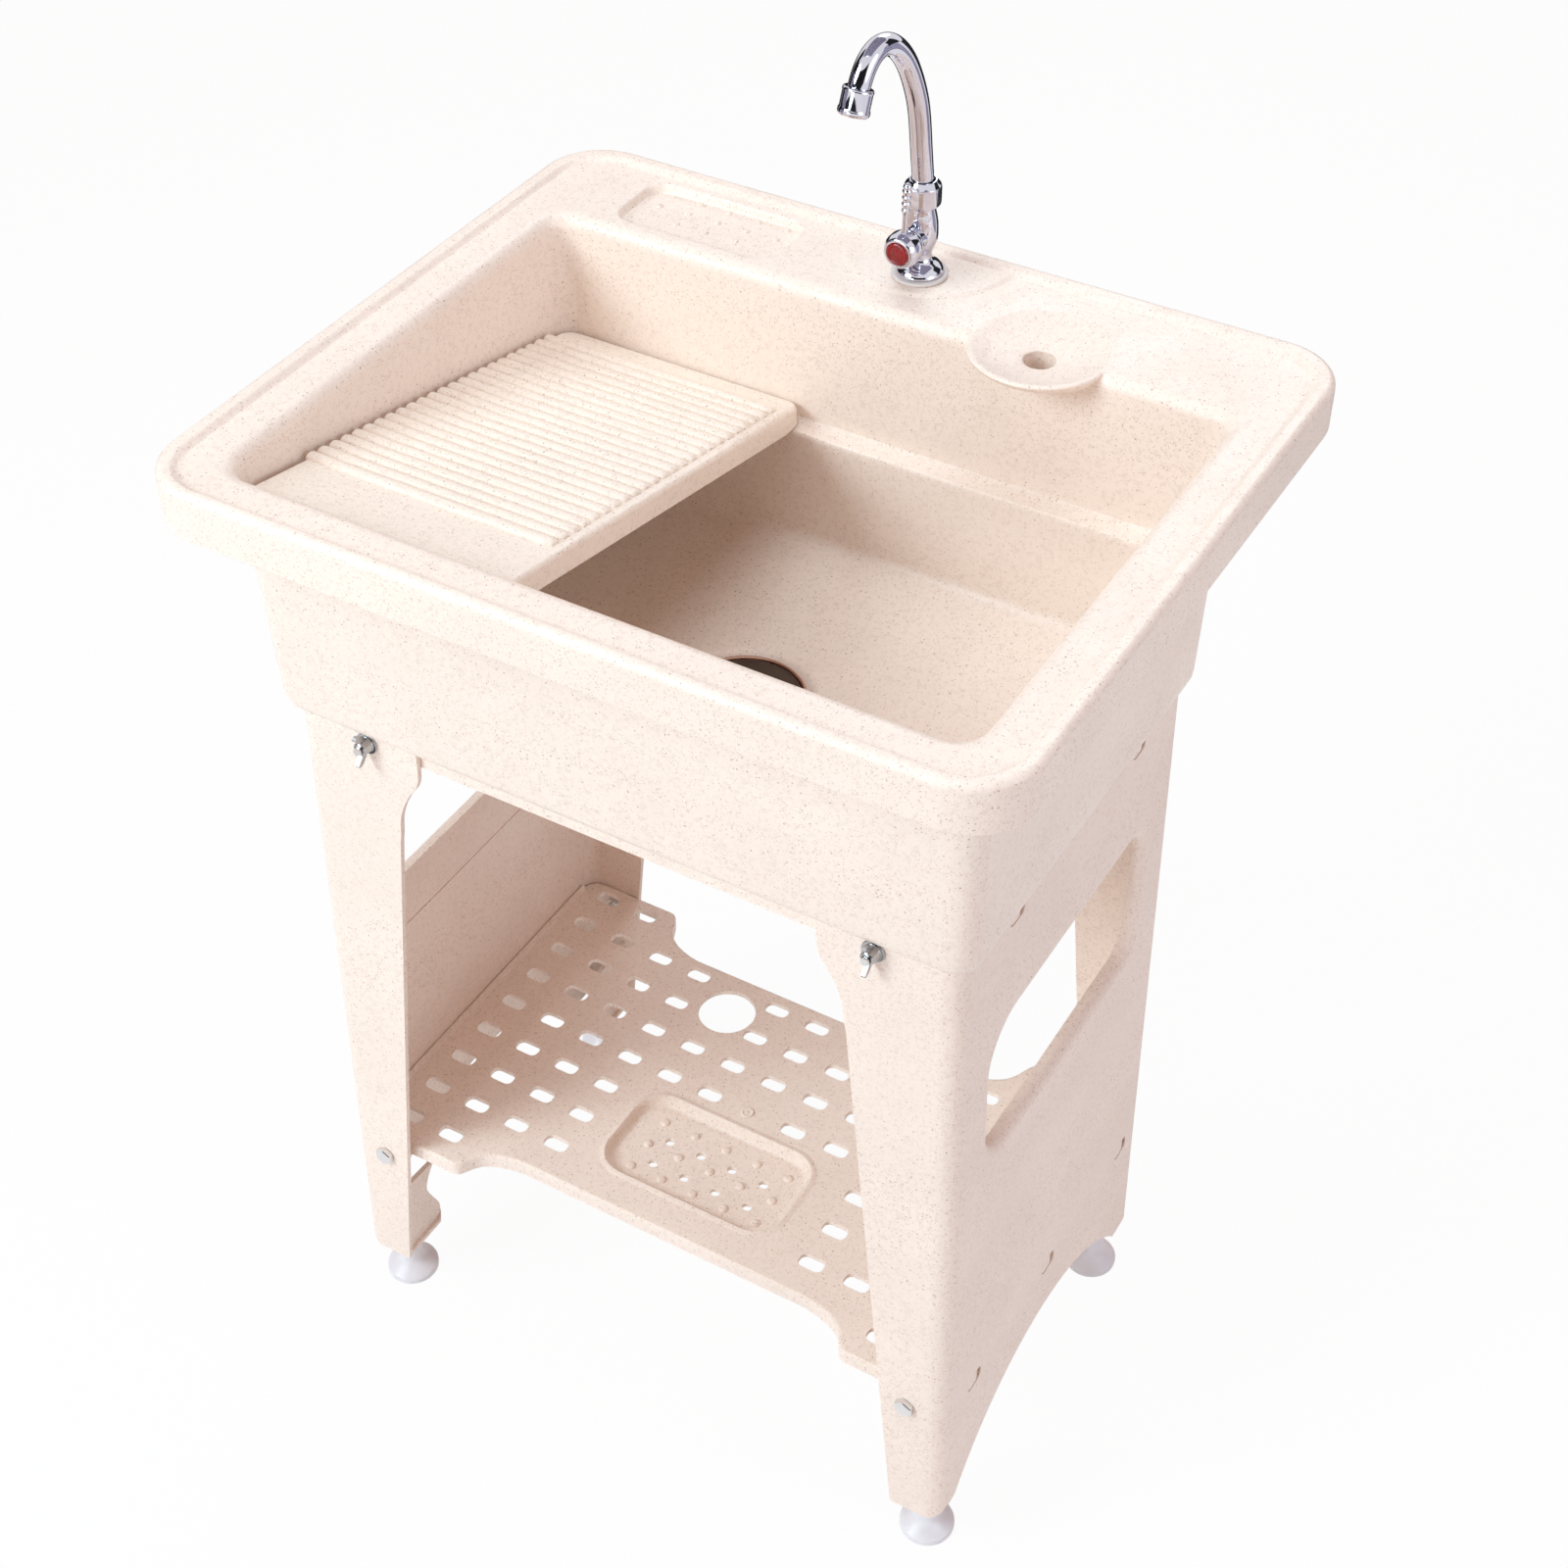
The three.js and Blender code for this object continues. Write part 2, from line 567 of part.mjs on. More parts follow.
// A hub with a washer face and two upright wings flared away from the seat.
function wingNut(x, z, ySeat, towards) {
  const hub = turnedToFront([[0, 0], [8.2, 0], [8.2, 1.4], [5.6, 1.6], [4.8, 9], [0, 9]], 0, 0, 0, 12);
  const half = [[1.5, 0], [1.5, 5.4], [3, 7], [8, 12.5], [12, 12.5], [13, 10.5], [8, 4.5]];
  const upper = half.map(([reach, up]) => [-reach, up]);
  const lower = half.slice(1).reverse().map(([reach, up]) => [-reach, -up]);
  const wings = prismX([...upper, ...lower], -1.5, 1.5);
  const bore = prismY(circleOutline(0, 0, APRON_BOLT.radius + GAP, BOLT_SIDES), -20, 5);
  const nut = hub.add(wings).subtract(bore);
  const facing = towards < 0 ? nut : mirrorY(nut);
  return facing.translate([x, ySeat, z]);
}

// ---- tap ----------------------------------------------------------------
function tapBody() {
  const { x, y, valveZ } = TAP;
  const base = TAP.pad + 2.6 + GAP;
  const vase = turned([[0, base], [16.7, base], [15, base + 5], [8.2, base + 8.5], [7.7, base + 13],
    [11.4, base + 24], [11.4, 864], [9, 874], [9, 878], [0, 878]], x, y);
  const bonnet = turnedToFront([[0, 0], [8.5, 0], [8.5, 15], [0, 15]], x, y, valveZ, ROUND);
  const bore = turned([[0, base - 1], [6.5, base - 1], [6.5, base + 12], [0, base + 12]], x, y, 12);
  const seat = turned([[0, 870], [5.6, 870], [5.6, 880], [0, 880]], x, y, ROUND);
  const spindle = turnedToFront([[0, 6], [4, 6], [4, 20], [0, 20]], x, y, valveZ, 12);
  return without(vase.add(bonnet), [bore, seat, spindle]);
}

const NECK = { angle: -10, radius: 7.4, bore: 5.6 };
const NECK_PATH = [[0, 879], [0.2, 893], [2, 905], [4.5, 924], [7.5, 947], [13, 964], [20, 980], [29, 993.5],
  [41, 1003.5], [53, 1004.5], [62, 999], [67.5, 991], [70.5, 984], [72, 979.5]];

function neckPoint(forward, z) {
  const angle = degrees(NECK.angle);
  return new THREE.Vector3(TAP.x + forward * Math.sin(angle), TAP.y - forward * Math.cos(angle), z);
}

function neckRings(radius, curve, stations, sides) {
  const across = neckPoint(1, 0).sub(neckPoint(0, 0)).cross(new THREE.Vector3(0, 0, 1)).normalize();
  const rings = [];
  for (let station = 0; station <= stations; station += 1) {
    const t = station / stations;
    const centre = curve.getPoint(t);
    const tangent = curve.getTangent(t);
    const up = new THREE.Vector3().crossVectors(tangent, across).normalize();
    const ring = [];
    for (let side = 0; side < sides; side += 1) {
      const angle = degrees((360 * side) / sides);
      const point = centre.clone()
        .addScaledVector(across, radius * Math.cos(angle))
        .addScaledVector(up, radius * Math.sin(angle));
      ring.push([point.x, point.y, point.z]);
    }
    rings.push(ring);
  }
  return rings;
}

function tapSpout() {
  const curve = new THREE.CatmullRomCurve3(NECK_PATH.map(([forward, z]) => neckPoint(forward, z)));
  const outer = neckRings(NECK.radius, curve, 16, 10);
  const inner = neckRings(NECK.bore, curve, 16, 6);
  const tube = solidOf(loft(outer)).subtract(solidOf(loft(extendEnds(inner))));
  const flange = turned([[NECK.bore, 878.3], [9.2, 878.3], [9.2, 881], [NECK.bore, 881]],
    TAP.x, TAP.y);
  return tube.add(flange.subtract(turned([[0, 870], [NECK.bore, 870], [NECK.bore, 890], [0, 890]], TAP.x, TAP.y, 10)));
}

// Lengthens a lofted core past both ends so that it cuts cleanly.
function extendEnds(rings) {
  const reach = (from, to) => to.map((point, index) => point.map((value, axis) => (
    value + (value - from[index][axis]) * 0.2)));
  return [reach(rings[1], rings[0]), ...rings.slice(1, -1), reach(rings[rings.length - 2], rings[rings.length - 1])];
}

function tapAerator() {
  const end = NECK_PATH[NECK_PATH.length - 1];
  const before = NECK_PATH[NECK_PATH.length - 2];
  const tilt = Math.atan2(end[0] - before[0], before[1] - end[1]);
  const profile = [[8.1, 5.5], [9.8, 5.5], [10.5, 4], [10.5, -10.5], [9.4, -12], [6.4, -12], [6.4, -0.5], [8.1, -0.5]];
  const geometry = latheOf(profile, ROUND);
  geometry.rotateX(Math.PI / 2 - tilt);
  geometry.rotateZ(degrees(NECK.angle));
  const centre = neckPoint(end[0], end[1]);
  geometry.translate(centre.x, centre.y, centre.z);
  return solidOf(geometry);
}

function tapHandle() {
  const { x, y, valveZ } = TAP;
  const hub = turnedToFront([[4.3, 0], [11.5, 0], [12.6, 2], [12.6, 9], [10.5, 13.6], [8.5, 14], [8.5, 12], [0, 12],
    [0, 8], [4.3, 8]], x, y - 20, valveZ);
  const lever = [
    [8, 3, 3.2], [14, 3, 3], [18, 3.6, 3.4], [22, 2.9, 2.8], [30, 3.4, 3.2], [38, 4.2, 3.8], [44, 3.8, 3.4],
    [49, 2.4, 2],
  ].map(([up, halfX, halfY]) => {
    const ring = [];
    for (let side = 0; side < 8; side += 1) {
      const angle = degrees(45 * side);
      ring.push([x + up * 0.04 + halfX * Math.cos(angle), y - 26 + halfY * Math.sin(angle), valveZ + up]);
    }
    return ring;
  });
  return hub.add(loftSolid(lever));
}

// ---- the whole part -----------------------------------------------------
const COLOURS = {
  body: { color: 0xeadfd4, roughness: 0.45, metalness: 0 },
  white: { color: 0xf1efea, roughness: 0.4, metalness: 0 },
  steel: { color: 0xb9bcc0, roughness: 0.3, metalness: 0.9 },
  chrome: { color: 0xdcdfe3, roughness: 0.1, metalness: 1 },
  button: { color: 0xb0141c, roughness: 0.3, metalness: 0 },
  rubber: { color: 0x2b2b2d, roughness: 0.8, metalness: 0 },
  washer: { color: 0xe4ded2, roughness: 0.5, metalness: 0 },
  copper: { color: 0xb98a6a, roughness: 0.3, metalness: 0.9 },
};

const part = new THREE.Group();
part.name = 'utility_laundry_sink';

function put(name, solid, colour) {
  const geometry = meshOf(solid);
  geometry.computeVertexNormals();
  const mesh = new THREE.Mesh(geometry, new THREE.MeshStandardMaterial(COLOURS[colour]));
  mesh.name = name;
  part.add(mesh);
}

put('basin', basin(), 'body');
put('washboard', washboard(), 'body');
const rightPanel = sidePanel();
put('right_side_panel', rightPanel, 'body');
put('left_side_panel', mirrorX(rightPanel), 'body');
put('shelf', shelf(), 'body');

for (const [sideName, side] of [['left', -1], ['right', 1]]) {
  for (const [endName, footY] of [['front', FOOT.front], ['back', FOOT.back]]) {
    const where = `${endName}_${sideName}`;
    const isFront = endName === 'front';
    const out = isFront ? -1 : 1;
    const footX = side * FOOT.x;
    put(`foot_pad_${where}`, footPad(footX, footY), 'white');
    put(`foot_stud_${where}`, footStud(footX, footY), 'steel');
    put(`foot_insert_${where}`, footInsert(footX, footY), 'steel');

    const apronX = side * APRON_BOLT.x;
    const apronFace = isFront ? standFront(APRON_BOLT.z) : STAND_BACK;
    const lugInside = isFront ? BAND.front + 8 : BAND.back - 8;
    put(`apron_bolt_${where}`, boltAlongY(apronX, APRON_BOLT.z, lugInside - out * GAP, apronFace + out * 12, 5.5, 3.5,
      APRON_BOLT.radius), 'steel');
    put(`wing_nut_${where}`, wingNut(apronX, APRON_BOLT.z, apronFace + out * GAP, out), 'steel');

    const shelfX = side * SHELF_BOLT.x;
    const shelfFace = isFront ? standFront(SHELF_BOLT.z - 7) : STAND_BACK;
    const earInside = isFront ? SHELF.earFront + WALL : SHELF.earBack - WALL;
    const nutNear = earInside - out * GAP;
    const nutFar = nutNear - out * 5;
    put(`shelf_bolt_${where}`, boltAlongY(shelfX, SHELF_BOLT.z, shelfFace + out * GAP, nutFar - out * 3, 8, 3.2,
      SHELF_BOLT.radius, 12), 'steel');
    put(`shelf_nut_${where}`, nutAlongY(shelfX, SHELF_BOLT.z, Math.min(nutNear, nutFar), Math.max(nutNear, nutFar),
      6.2, SHELF_BOLT.radius), 'steel');
  }
}

put('tap_base_washer', turned([[11, TAP.pad + GAP], [19.6, TAP.pad + GAP], [19.6, TAP.pad + 2],
  [19, TAP.pad + 2.6], [11, TAP.pad + 2.6]], TAP.x, TAP.y, 28), 'washer');
put('tap_body', tapBody(), 'chrome');
put('tap_shank', turned([[4.5, 762], [9.6, 762], [9.6, TAP.pad + 2.2], [6.2, TAP.pad + 2.2], [6.2, TAP.pad + 12],
  [4.5, TAP.pad + 12]], TAP.x, TAP.y), 'chrome');
put('tap_backing_washer', turned([[10.2, 811.2], [17, 811.2], [17, DECK.under - GAP], [10.2, DECK.under - GAP]],
  TAP.x, TAP.y), 'rubber');
put('tap_lock_nut', prismZ(circleOutline(TAP.x, TAP.y, 17, 6), 802, 810.9)
  .subtract(prismZ(circleOutline(TAP.x, TAP.y, 9.6 + GAP), 800, 812)), 'white');
put('tap_coupling_nut', prismZ(circleOutline(TAP.x, TAP.y, 12.2, 8), 876, 891)
  .add(turned([[0, 891 - EMBED], [11, 891 - EMBED], [9.5, 894], [0, 894]], TAP.x, TAP.y))
  .subtract(turned([[0, 870], [9.6, 870], [9.6, 881.4], [NECK.radius + 1, 881.4], [NECK.radius + 1, 900], [0, 900]],
    TAP.x, TAP.y)), 'chrome');
put('tap_spout', tapSpout(), 'chrome');
put('tap_aerator', tapAerator(), 'chrome');
put('tap_bonnet_nut', turnedToFront([[4.3, 15.3], [10.5, 15.3], [10.5, 19.2], [4.3, 19.2]],
  TAP.x, TAP.y, TAP.valveZ), 'chrome');
put('tap_spindle', turnedToFront([[0, 6.5], [3.6, 6.5], [3.6, 27.6], [0, 27.6]], TAP.x, TAP.y, TAP.valveZ, 12), 'steel');
put('tap_handle', tapHandle(), 'chrome');
put('tap_index_button', turnedToFront([[0, 32.3], [8.1, 32.3], [8.1, 34.2], [6.5, 35.2], [0, 35.4]],
  TAP.x, TAP.y, TAP.valveZ), 'button');

put('drain_flange', turned([[23.5, 545], [26.4, 545], [26.4, DRAIN.seat + GAP], [41.5, DRAIN.seat + GAP],
  [43, DRAIN.seat + 1.8], [41.5, DRAIN.seat + 4], [30, DRAIN.seat + 3.6], [23.5, DRAIN.seat + 0.8]],
DRAIN.x, DRAIN.y, 24), 'copper');
put('drain_gasket', turned([[27, DRAIN.under - 4], [42, DRAIN.under - 4], [42, DRAIN.under - GAP],
  [27, DRAIN.under - GAP]], DRAIN.x, DRAIN.y), 'rubber');
put('drain_lock_nut', prismZ(circleOutline(DRAIN.x, DRAIN.y, 40, 8), 580, DRAIN.under - 4 - GAP)
  .subtract(prismZ(circleOutline(DRAIN.x, DRAIN.y, 27), 570, 600)), 'white');
put('drain_tailpiece', turned([[19, 520], [21.5, 520], [21.5, 554], [22.9, 554], [22.9, 560], [19, 560]],
  DRAIN.x, DRAIN.y), 'white');
put('strainer_basket', turned([[0, 580], [18, 580], [22.6, 585], [22.8, DRAIN.seat + 0.8], [29.5, DRAIN.seat + 3.9],
  [29.5, DRAIN.seat + 5], [21.6, DRAIN.seat + 2], [21.2, 586], [17.5, 581.5], [0, 581.5]],
DRAIN.x, DRAIN.y), 'steel');

export default part;
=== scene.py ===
"""Utility laundry sink: finished mouldings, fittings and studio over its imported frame.

Sizes of the sink are millimetres in the code; those of the studio and the textures are metres. Meshes are
made in metres, +Z up, front facing -Y.
"""
import bpy
import bmesh
import json
import math
from mathutils import Matrix, Vector


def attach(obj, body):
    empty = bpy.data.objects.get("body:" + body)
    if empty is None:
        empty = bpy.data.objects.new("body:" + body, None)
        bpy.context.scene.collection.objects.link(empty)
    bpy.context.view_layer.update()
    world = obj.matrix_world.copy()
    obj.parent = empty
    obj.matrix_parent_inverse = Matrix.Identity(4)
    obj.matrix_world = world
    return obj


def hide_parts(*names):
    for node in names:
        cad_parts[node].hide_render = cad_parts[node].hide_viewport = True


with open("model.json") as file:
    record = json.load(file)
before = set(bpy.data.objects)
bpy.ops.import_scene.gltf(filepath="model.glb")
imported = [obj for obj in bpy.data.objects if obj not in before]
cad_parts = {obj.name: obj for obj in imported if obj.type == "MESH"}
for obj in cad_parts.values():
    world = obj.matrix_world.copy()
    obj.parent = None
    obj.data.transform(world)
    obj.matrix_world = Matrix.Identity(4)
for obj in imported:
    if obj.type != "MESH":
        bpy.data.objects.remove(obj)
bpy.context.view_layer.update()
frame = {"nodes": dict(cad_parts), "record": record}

bl_info = {
    "name": "Laundry Sink",
    "version": (1, 0, 0),
    "blender": (4, 5, 0),
    "location": "View3D > Sidebar > Sink",
    "description": "Finishes a moulded laundry sink and its tap over the packed frame",
    "category": "Object",
}

MM = 0.001
ENDS = ("front_left", "front_right", "back_left", "back_right")

# Places that several pieces share: (x, y) centres, heights, and the (x, z) of bolts.
DRAIN = (-3, -17)
DISH = (115, 165.5)
TAP = (4.4, 205.6)
VALVE_Z = 854
STAND_FOOT, STAND_TOP = 48, 620
STAND_BACK = 144
STUD_X, STUD_Y = 242, (-167, 124)
APRON_BOLT = (191, 611)
SHELF_BOLT = (230, 173)
BOLT_HOLE_RADIUS = 3.5
WALL = 4

# How far cutters reach, so that they pass all the way through.
FRONT_TO_BACK = (-300, 300)
THROUGH_PANEL = (200, 300)


# ---- settings -------------------------------------------------------------
def colour_property(name, description, default):
    return bpy.props.FloatVectorProperty(
        name=name, description=description, default=default, subtype="COLOR", size=3, min=0.0, max=1.0)


def size_property(name, description, default):
    return bpy.props.FloatProperty(
        name=name, description=description, default=default * MM, unit="LENGTH", subtype="DISTANCE", min=0.0)


def angle_property(name, description, degrees):
    return bpy.props.FloatProperty(
        name=name, description=description, default=math.radians(degrees), unit="ROTATION")


def power_property(name, description, default):
    return bpy.props.FloatProperty(
        name=name, description=description, default=default, min=0.0, unit="POWER")


class SinkFinish(bpy.types.PropertyGroup):
    """Colours and flecks of the moulded plastic."""
    basin: colour_property("Basin", "Plastic of the basin", (0.965, 0.84, 0.745))
    stand: colour_property("Stand", "Plastic of the panels and shelf", (0.96, 0.83, 0.735))
    board: colour_property("Washboard", "Plastic of the washboard", (0.965, 0.85, 0.745))
    fleck: colour_property("Fleck", "Main colour of the flecks in the plastic", (0.42, 0.28, 0.21))
    dark_fleck: colour_property("Dark fleck", "Colour of the rarer dark flecks", (0.36, 0.27, 0.25))
    button: colour_property("Button", "Plastic of the tap's index button", (0.27, 0.003, 0.007))
    fleck_size: size_property("Fleck spacing", "Mean distance between fleck sites", 3.1)
    fleck_amount: bpy.props.FloatProperty(
        name="Fleck amount", description="Share of fleck sites that show", default=0.55, min=0.0, max=1.0)


class SinkShapes(bpy.types.PropertyGroup):
    """Sizes of the mouldings that a user would change."""
    edge: size_property("Edge rounding", "Radius on the edges of the mouldings", 1.2)
    corner_steps: bpy.props.IntProperty(
        name="Corner steps", description="Faces round each corner of an outline", default=12, min=3, max=32)
    ribs: bpy.props.IntProperty(
        name="Ribs", description="Ribs across the washboard", default=24, min=1, max=60)
    rib_pitch: size_property("Rib pitch", "Distance between washboard ribs", 11.35)
    slot_length: size_property("Slot length", "Length of a drain slot in the shelf", 20.5)
    slot_width: size_property("Slot width", "Width of a drain slot in the shelf", 12.5)


class SinkStage(bpy.types.PropertyGroup):
    """Studio light and camera."""
    azimuth: angle_property("Azimuth", "Camera angle round the sink", 30.32)
    elevation: angle_property("Elevation", "Camera angle above the floor", 41.58)
    lens: bpy.props.FloatProperty(
        name="Lens", description="Focal length in millimetres", default=58.16, min=1.0)
    sky: bpy.props.FloatProperty(
        name="Sky", description="Strength of the even light", default=0.33, min=0.0)
    key: power_property("Key", "Power of the key light", 75.0)
    front: power_property("Front", "Power of the low front light", 20.0)
    fill: power_property("Fill", "Power of the side light", 26.0)
    top: power_property("Top", "Power of the top light", 33.0)
    rear: power_property("Rear", "Power of the rear light", 25.0)
    floor: colour_property("Floor", "Colour of the floor", (0.86, 0.86, 0.86))


# ---- outlines -------------------------------------------------------------
def rounded_outline(x0, x1, y0, y1, radii, steps):
    """A rounded rectangle, anticlockwise; radii run from the x1, y1 corner onwards."""
    points = []
    corners = ((x1, y1, -1, -1), (x0, y1, 1, -1), (x0, y0, 1, 1), (x1, y0, -1, 1))
    for corner, (x, y, side_x, side_y) in enumerate(corners):
        radius = radii[corner]
        for step in range(steps + 1):
            angle = math.radians(90 * corner + 90 * step / steps)
            points.append((x + side_x * radius + radius * math.cos(angle),
                           y + side_y * radius + radius * math.sin(angle)))
    return points


def grown_outline(box, radii, grow, steps):
    """The rounded rectangle of box (x0, x1, y0, y1), moved outwards by grow."""
    x0, x1, y0, y1 = box
    return rounded_outline(
        x0 - grow, x1 + grow, y0 - grow, y1 + grow, tuple(radius + grow for radius in radii), steps)


def circle_outline(x, y, radius, sides):
    turns = (math.tau * (side + 0.5) / sides for side in range(sides))
    return [(x + radius * math.cos(turn), y + radius * math.sin(turn)) for turn in turns]


def slot_outline(x, y, length, width, steps=6):
    """A slot along x with round ends."""
    half, radius = (length - width) / 2, width / 2
    points = []
    for end, start in ((1, -90), (-1, 90)):
        for step in range(steps + 1):
            angle = math.radians(start + 180 * step / steps)
            points.append((x + end * half + radius * math.cos(angle), y + radius * math.sin(angle)))
    return points


def at_height(outline, z):
    """A ring from an outline; z is a height, or gives the height at a y."""
    return [(x, y, z(y) if callable(z) else z) for x, y in outline]


def layers(outline_of, rows):
    """A ring for each (size, z), with the outline that outline_of gives for that size."""
    return [at_height(outline_of(size), z) for size, z in rows]


def anticlockwise(outline):
    pairs = zip(outline, outline[1:] + outline[:1])
    area = sum(a[0] * b[1] - b[0] * a[1] for a, b in pairs)
    return list(outline) if area > 0 else list(reversed(outline))


# ---- meshes ---------------------------------------------------------------
# Distances, in metres, within which points become one: when a mesh is made, and before it is softened.
SAME_POINT = 1e-6
NEAR_POINT = 2e-5
FLAT_ANGLE = math.radians(0.4)
SHARP_ANGLE = math.radians(60)


def new_object(name, data):
    piece = bpy.data.objects.new(name, data)
    bpy.context.collection.objects.link(piece)
    return piece


def discard(*pieces):
    for piece in pieces:
        bpy.data.objects.remove(piece, do_unlink=True)


def new_piece(name, points, faces):
    """A mesh object from points in millimetres, with its faces turned outwards."""
    mesh = bpy.data.meshes.new(name)
    mesh.from_pydata([Vector(point) * MM for point in points], [], faces)
    piece = new_object(name, mesh)
    edit_mesh(piece, turn_out)
    return piece


def edit_mesh(piece, change):
    shape = bmesh.new()
    shape.from_mesh(piece.data)
    change(shape)
    shape.to_mesh(piece.data)
    shape.free()
    piece.data.update()


def turn_out(shape):
    bmesh.ops.remove_doubles(shape, verts=shape.verts, dist=SAME_POINT)
    bmesh.ops.recalc_face_normals(shape, faces=shape.faces)


def loft(name, rings, looped=False):
    """Joins rings of equal length, capping the ends or, when looped, joining the last ring to the first."""
    count = len(rings[0])
    points = [point for ring in rings for point in ring]
    faces = []
    for ring in range(len(rings) if looped else len(rings) - 1):
        low = ring * count
        high = (ring + 1) % len(rings) * count
        for point in range(count):
            after = (point + 1) % count
            faces.append((low + point, low + after, high + after, high + point))
    if not looped:
        faces.append(tuple(reversed(range(count))))
        faces.append(tuple(range(len(points) - count, len(points))))
    return new_piece(name, points, faces)


def prism_z(name, outline, z0, z1):
    return loft(name, [at_height(anticlockwise(outline), z) for z in (z0, z1)])


def prism_x(name, outline, x0, x1):
    """The outline is given as (y, z)."""
    return loft(name, [[(x, y, z) for y, z in anticlockwise(outline)] for x in (x0, x1)])


def prism_y(name, outline, y0, y1):
    """The outline is given as (x, z)."""
    return loft(name, [[(x, y, z) for x, z in anticlockwise(outline)] for y in (y1, y0)])


def block(name, x0, x1, y0, y1, z0, z1):
    return prism_z(name, [(x0, y0), (x1, y0), (x1, y1), (x0, y1)], z0, z1)


def turned(name, profile, centre, sides=48, axis="Z"):
    """Turns a profile of (radius, height) about an axis through centre; Z points up, Y to the front."""
    points = []
    rows = []
    for radius, height in profile:
        row = []
        for side in range(sides if radius else 1):
            turn = math.tau * side / sides
            across, along = radius * math.cos(turn), radius * math.sin(turn)
            row.append(len(points))
            offset = (across, along, height) if axis == "Z" else (across, -height, along)
            points.append(tuple(start + step for start, step in zip(centre, offset)))
        rows.append(row)
    faces = []
    for low, high in zip(rows, rows[1:] + rows[:1]):
        if len(low) == 1 and len(high) == 1:
            continue
        for side in range(sides):
            after = (side + 1) % sides
            corners = [ring[place % len(ring)] for ring, place in (
                (low, side), (low, after), (high, after), (high, side))]
            faces.append(tuple(dict.fromkeys(corners)))
    return new_piece(name, points, faces)


def bake(piece):
    """Turns what the modifiers make of a piece into its plain mesh."""
    graph = bpy.context.evaluated_depsgraph_get()
    mesh = bpy.data.meshes.new_from_object(piece.evaluated_get(graph))
    piece.modifiers.clear()
    piece.data = mesh
    return piece


def combine(piece, others, operation):
    """Unites, cuts or intersects a piece with others, which are used up."""
    for other in others:
        modifier = piece.modifiers.new(operation.title(), "BOOLEAN")
        modifier.operation = operation
        modifier.solver = "MANIFOLD"
        modifier.object = other
    bake(piece)
    discard(*others)
    return piece


def merged(name, pieces):
    """Gathers several closed pieces in one object without uniting them."""
    shape = bmesh.new()
    for piece in pieces:
        shape.from_mesh(piece.data)
    mesh = bpy.data.meshes.new(name)
    shape.to_mesh(mesh)
    shape.free()
    discard(*pieces)
    return new_object(name, mesh)


def mirrored(piece, name):
    """A copy mirrored from the right to the left."""
    copy = new_object(name, piece.data.copy())

    def flip(shape):
        for point in shape.verts:
            point.co.x = -point.co.x
        bmesh.ops.reverse_faces(shape, faces=shape.faces)

    edit_mesh(copy, flip)
    return copy


def soften(piece, width, segments=2, angle=32, tidy=True):
    """Rounds the edges sharper than an angle in degrees and shades the rest smooth."""
    if tidy:
        edit_mesh(piece, merge_flats)
    if width > 0:
        bevel = piece.modifiers.new("Edge rounding", "BEVEL")
        bevel.width = width
        bevel.segments = segments
        bevel.limit_method = "ANGLE"
        bevel.angle_limit = math.radians(angle)
        bevel.use_clamp_overlap = True
        bevel.miter_outer = "MITER_ARC"
    piece.data.shade_smooth()
    piece.modifiers.new("Weighted normals", "WEIGHTED_NORMAL").keep_sharp = True
    piece.data.set_sharp_from_angle(angle=SHARP_ANGLE)
    return bake(piece)


def merge_flats(shape):
    bmesh.ops.remove_doubles(shape, verts=shape.verts, dist=NEAR_POINT)
    bmesh.ops.dissolve_limit(shape, angle_limit=FLAT_ANGLE, verts=shape.verts, edges=shape.edges)


def finish(piece, slot, body, *nodes, look=None):
    """Gives a piece the material of its slot or another look, its body, and the CAD nodes it replaces."""
    piece.data.materials.clear()
    piece.data.materials.append(bpy.data.materials[look or slot])
    for face in piece.data.polygons:
        face.material_index = 0
    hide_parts(*nodes)
    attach(piece, body)


def arc_steps(start, end, steps, rounding):
    """Rows of sizes between two rows, which end in two heights; how the step turns is its rounding.

    'over' starts upright and ends level, 'fold' starts level and ends upright, 'ess' eases the height at
    both ends, and 'line' is straight.
    """
    rows = []
    for step in range(1, steps + 1):
        share = step / steps
        quarter = share * math.pi / 2
        plan, drop = {
            "over": (1 - math.cos(quarter), math.sin(quarter)),
            "fold": (math.sin(quarter), 1 - math.cos(quarter)),
            "ess": (share, (1 - math.cos(share * math.pi)) / 2),
            "line": (share, share),
        }[rounding]
        shares = (plan,) * (len(start) - 2) + (drop,) * 2
        rows.append(tuple(a + (b - a) * part for a, b, part in zip(start, end, shares)))
    return rows


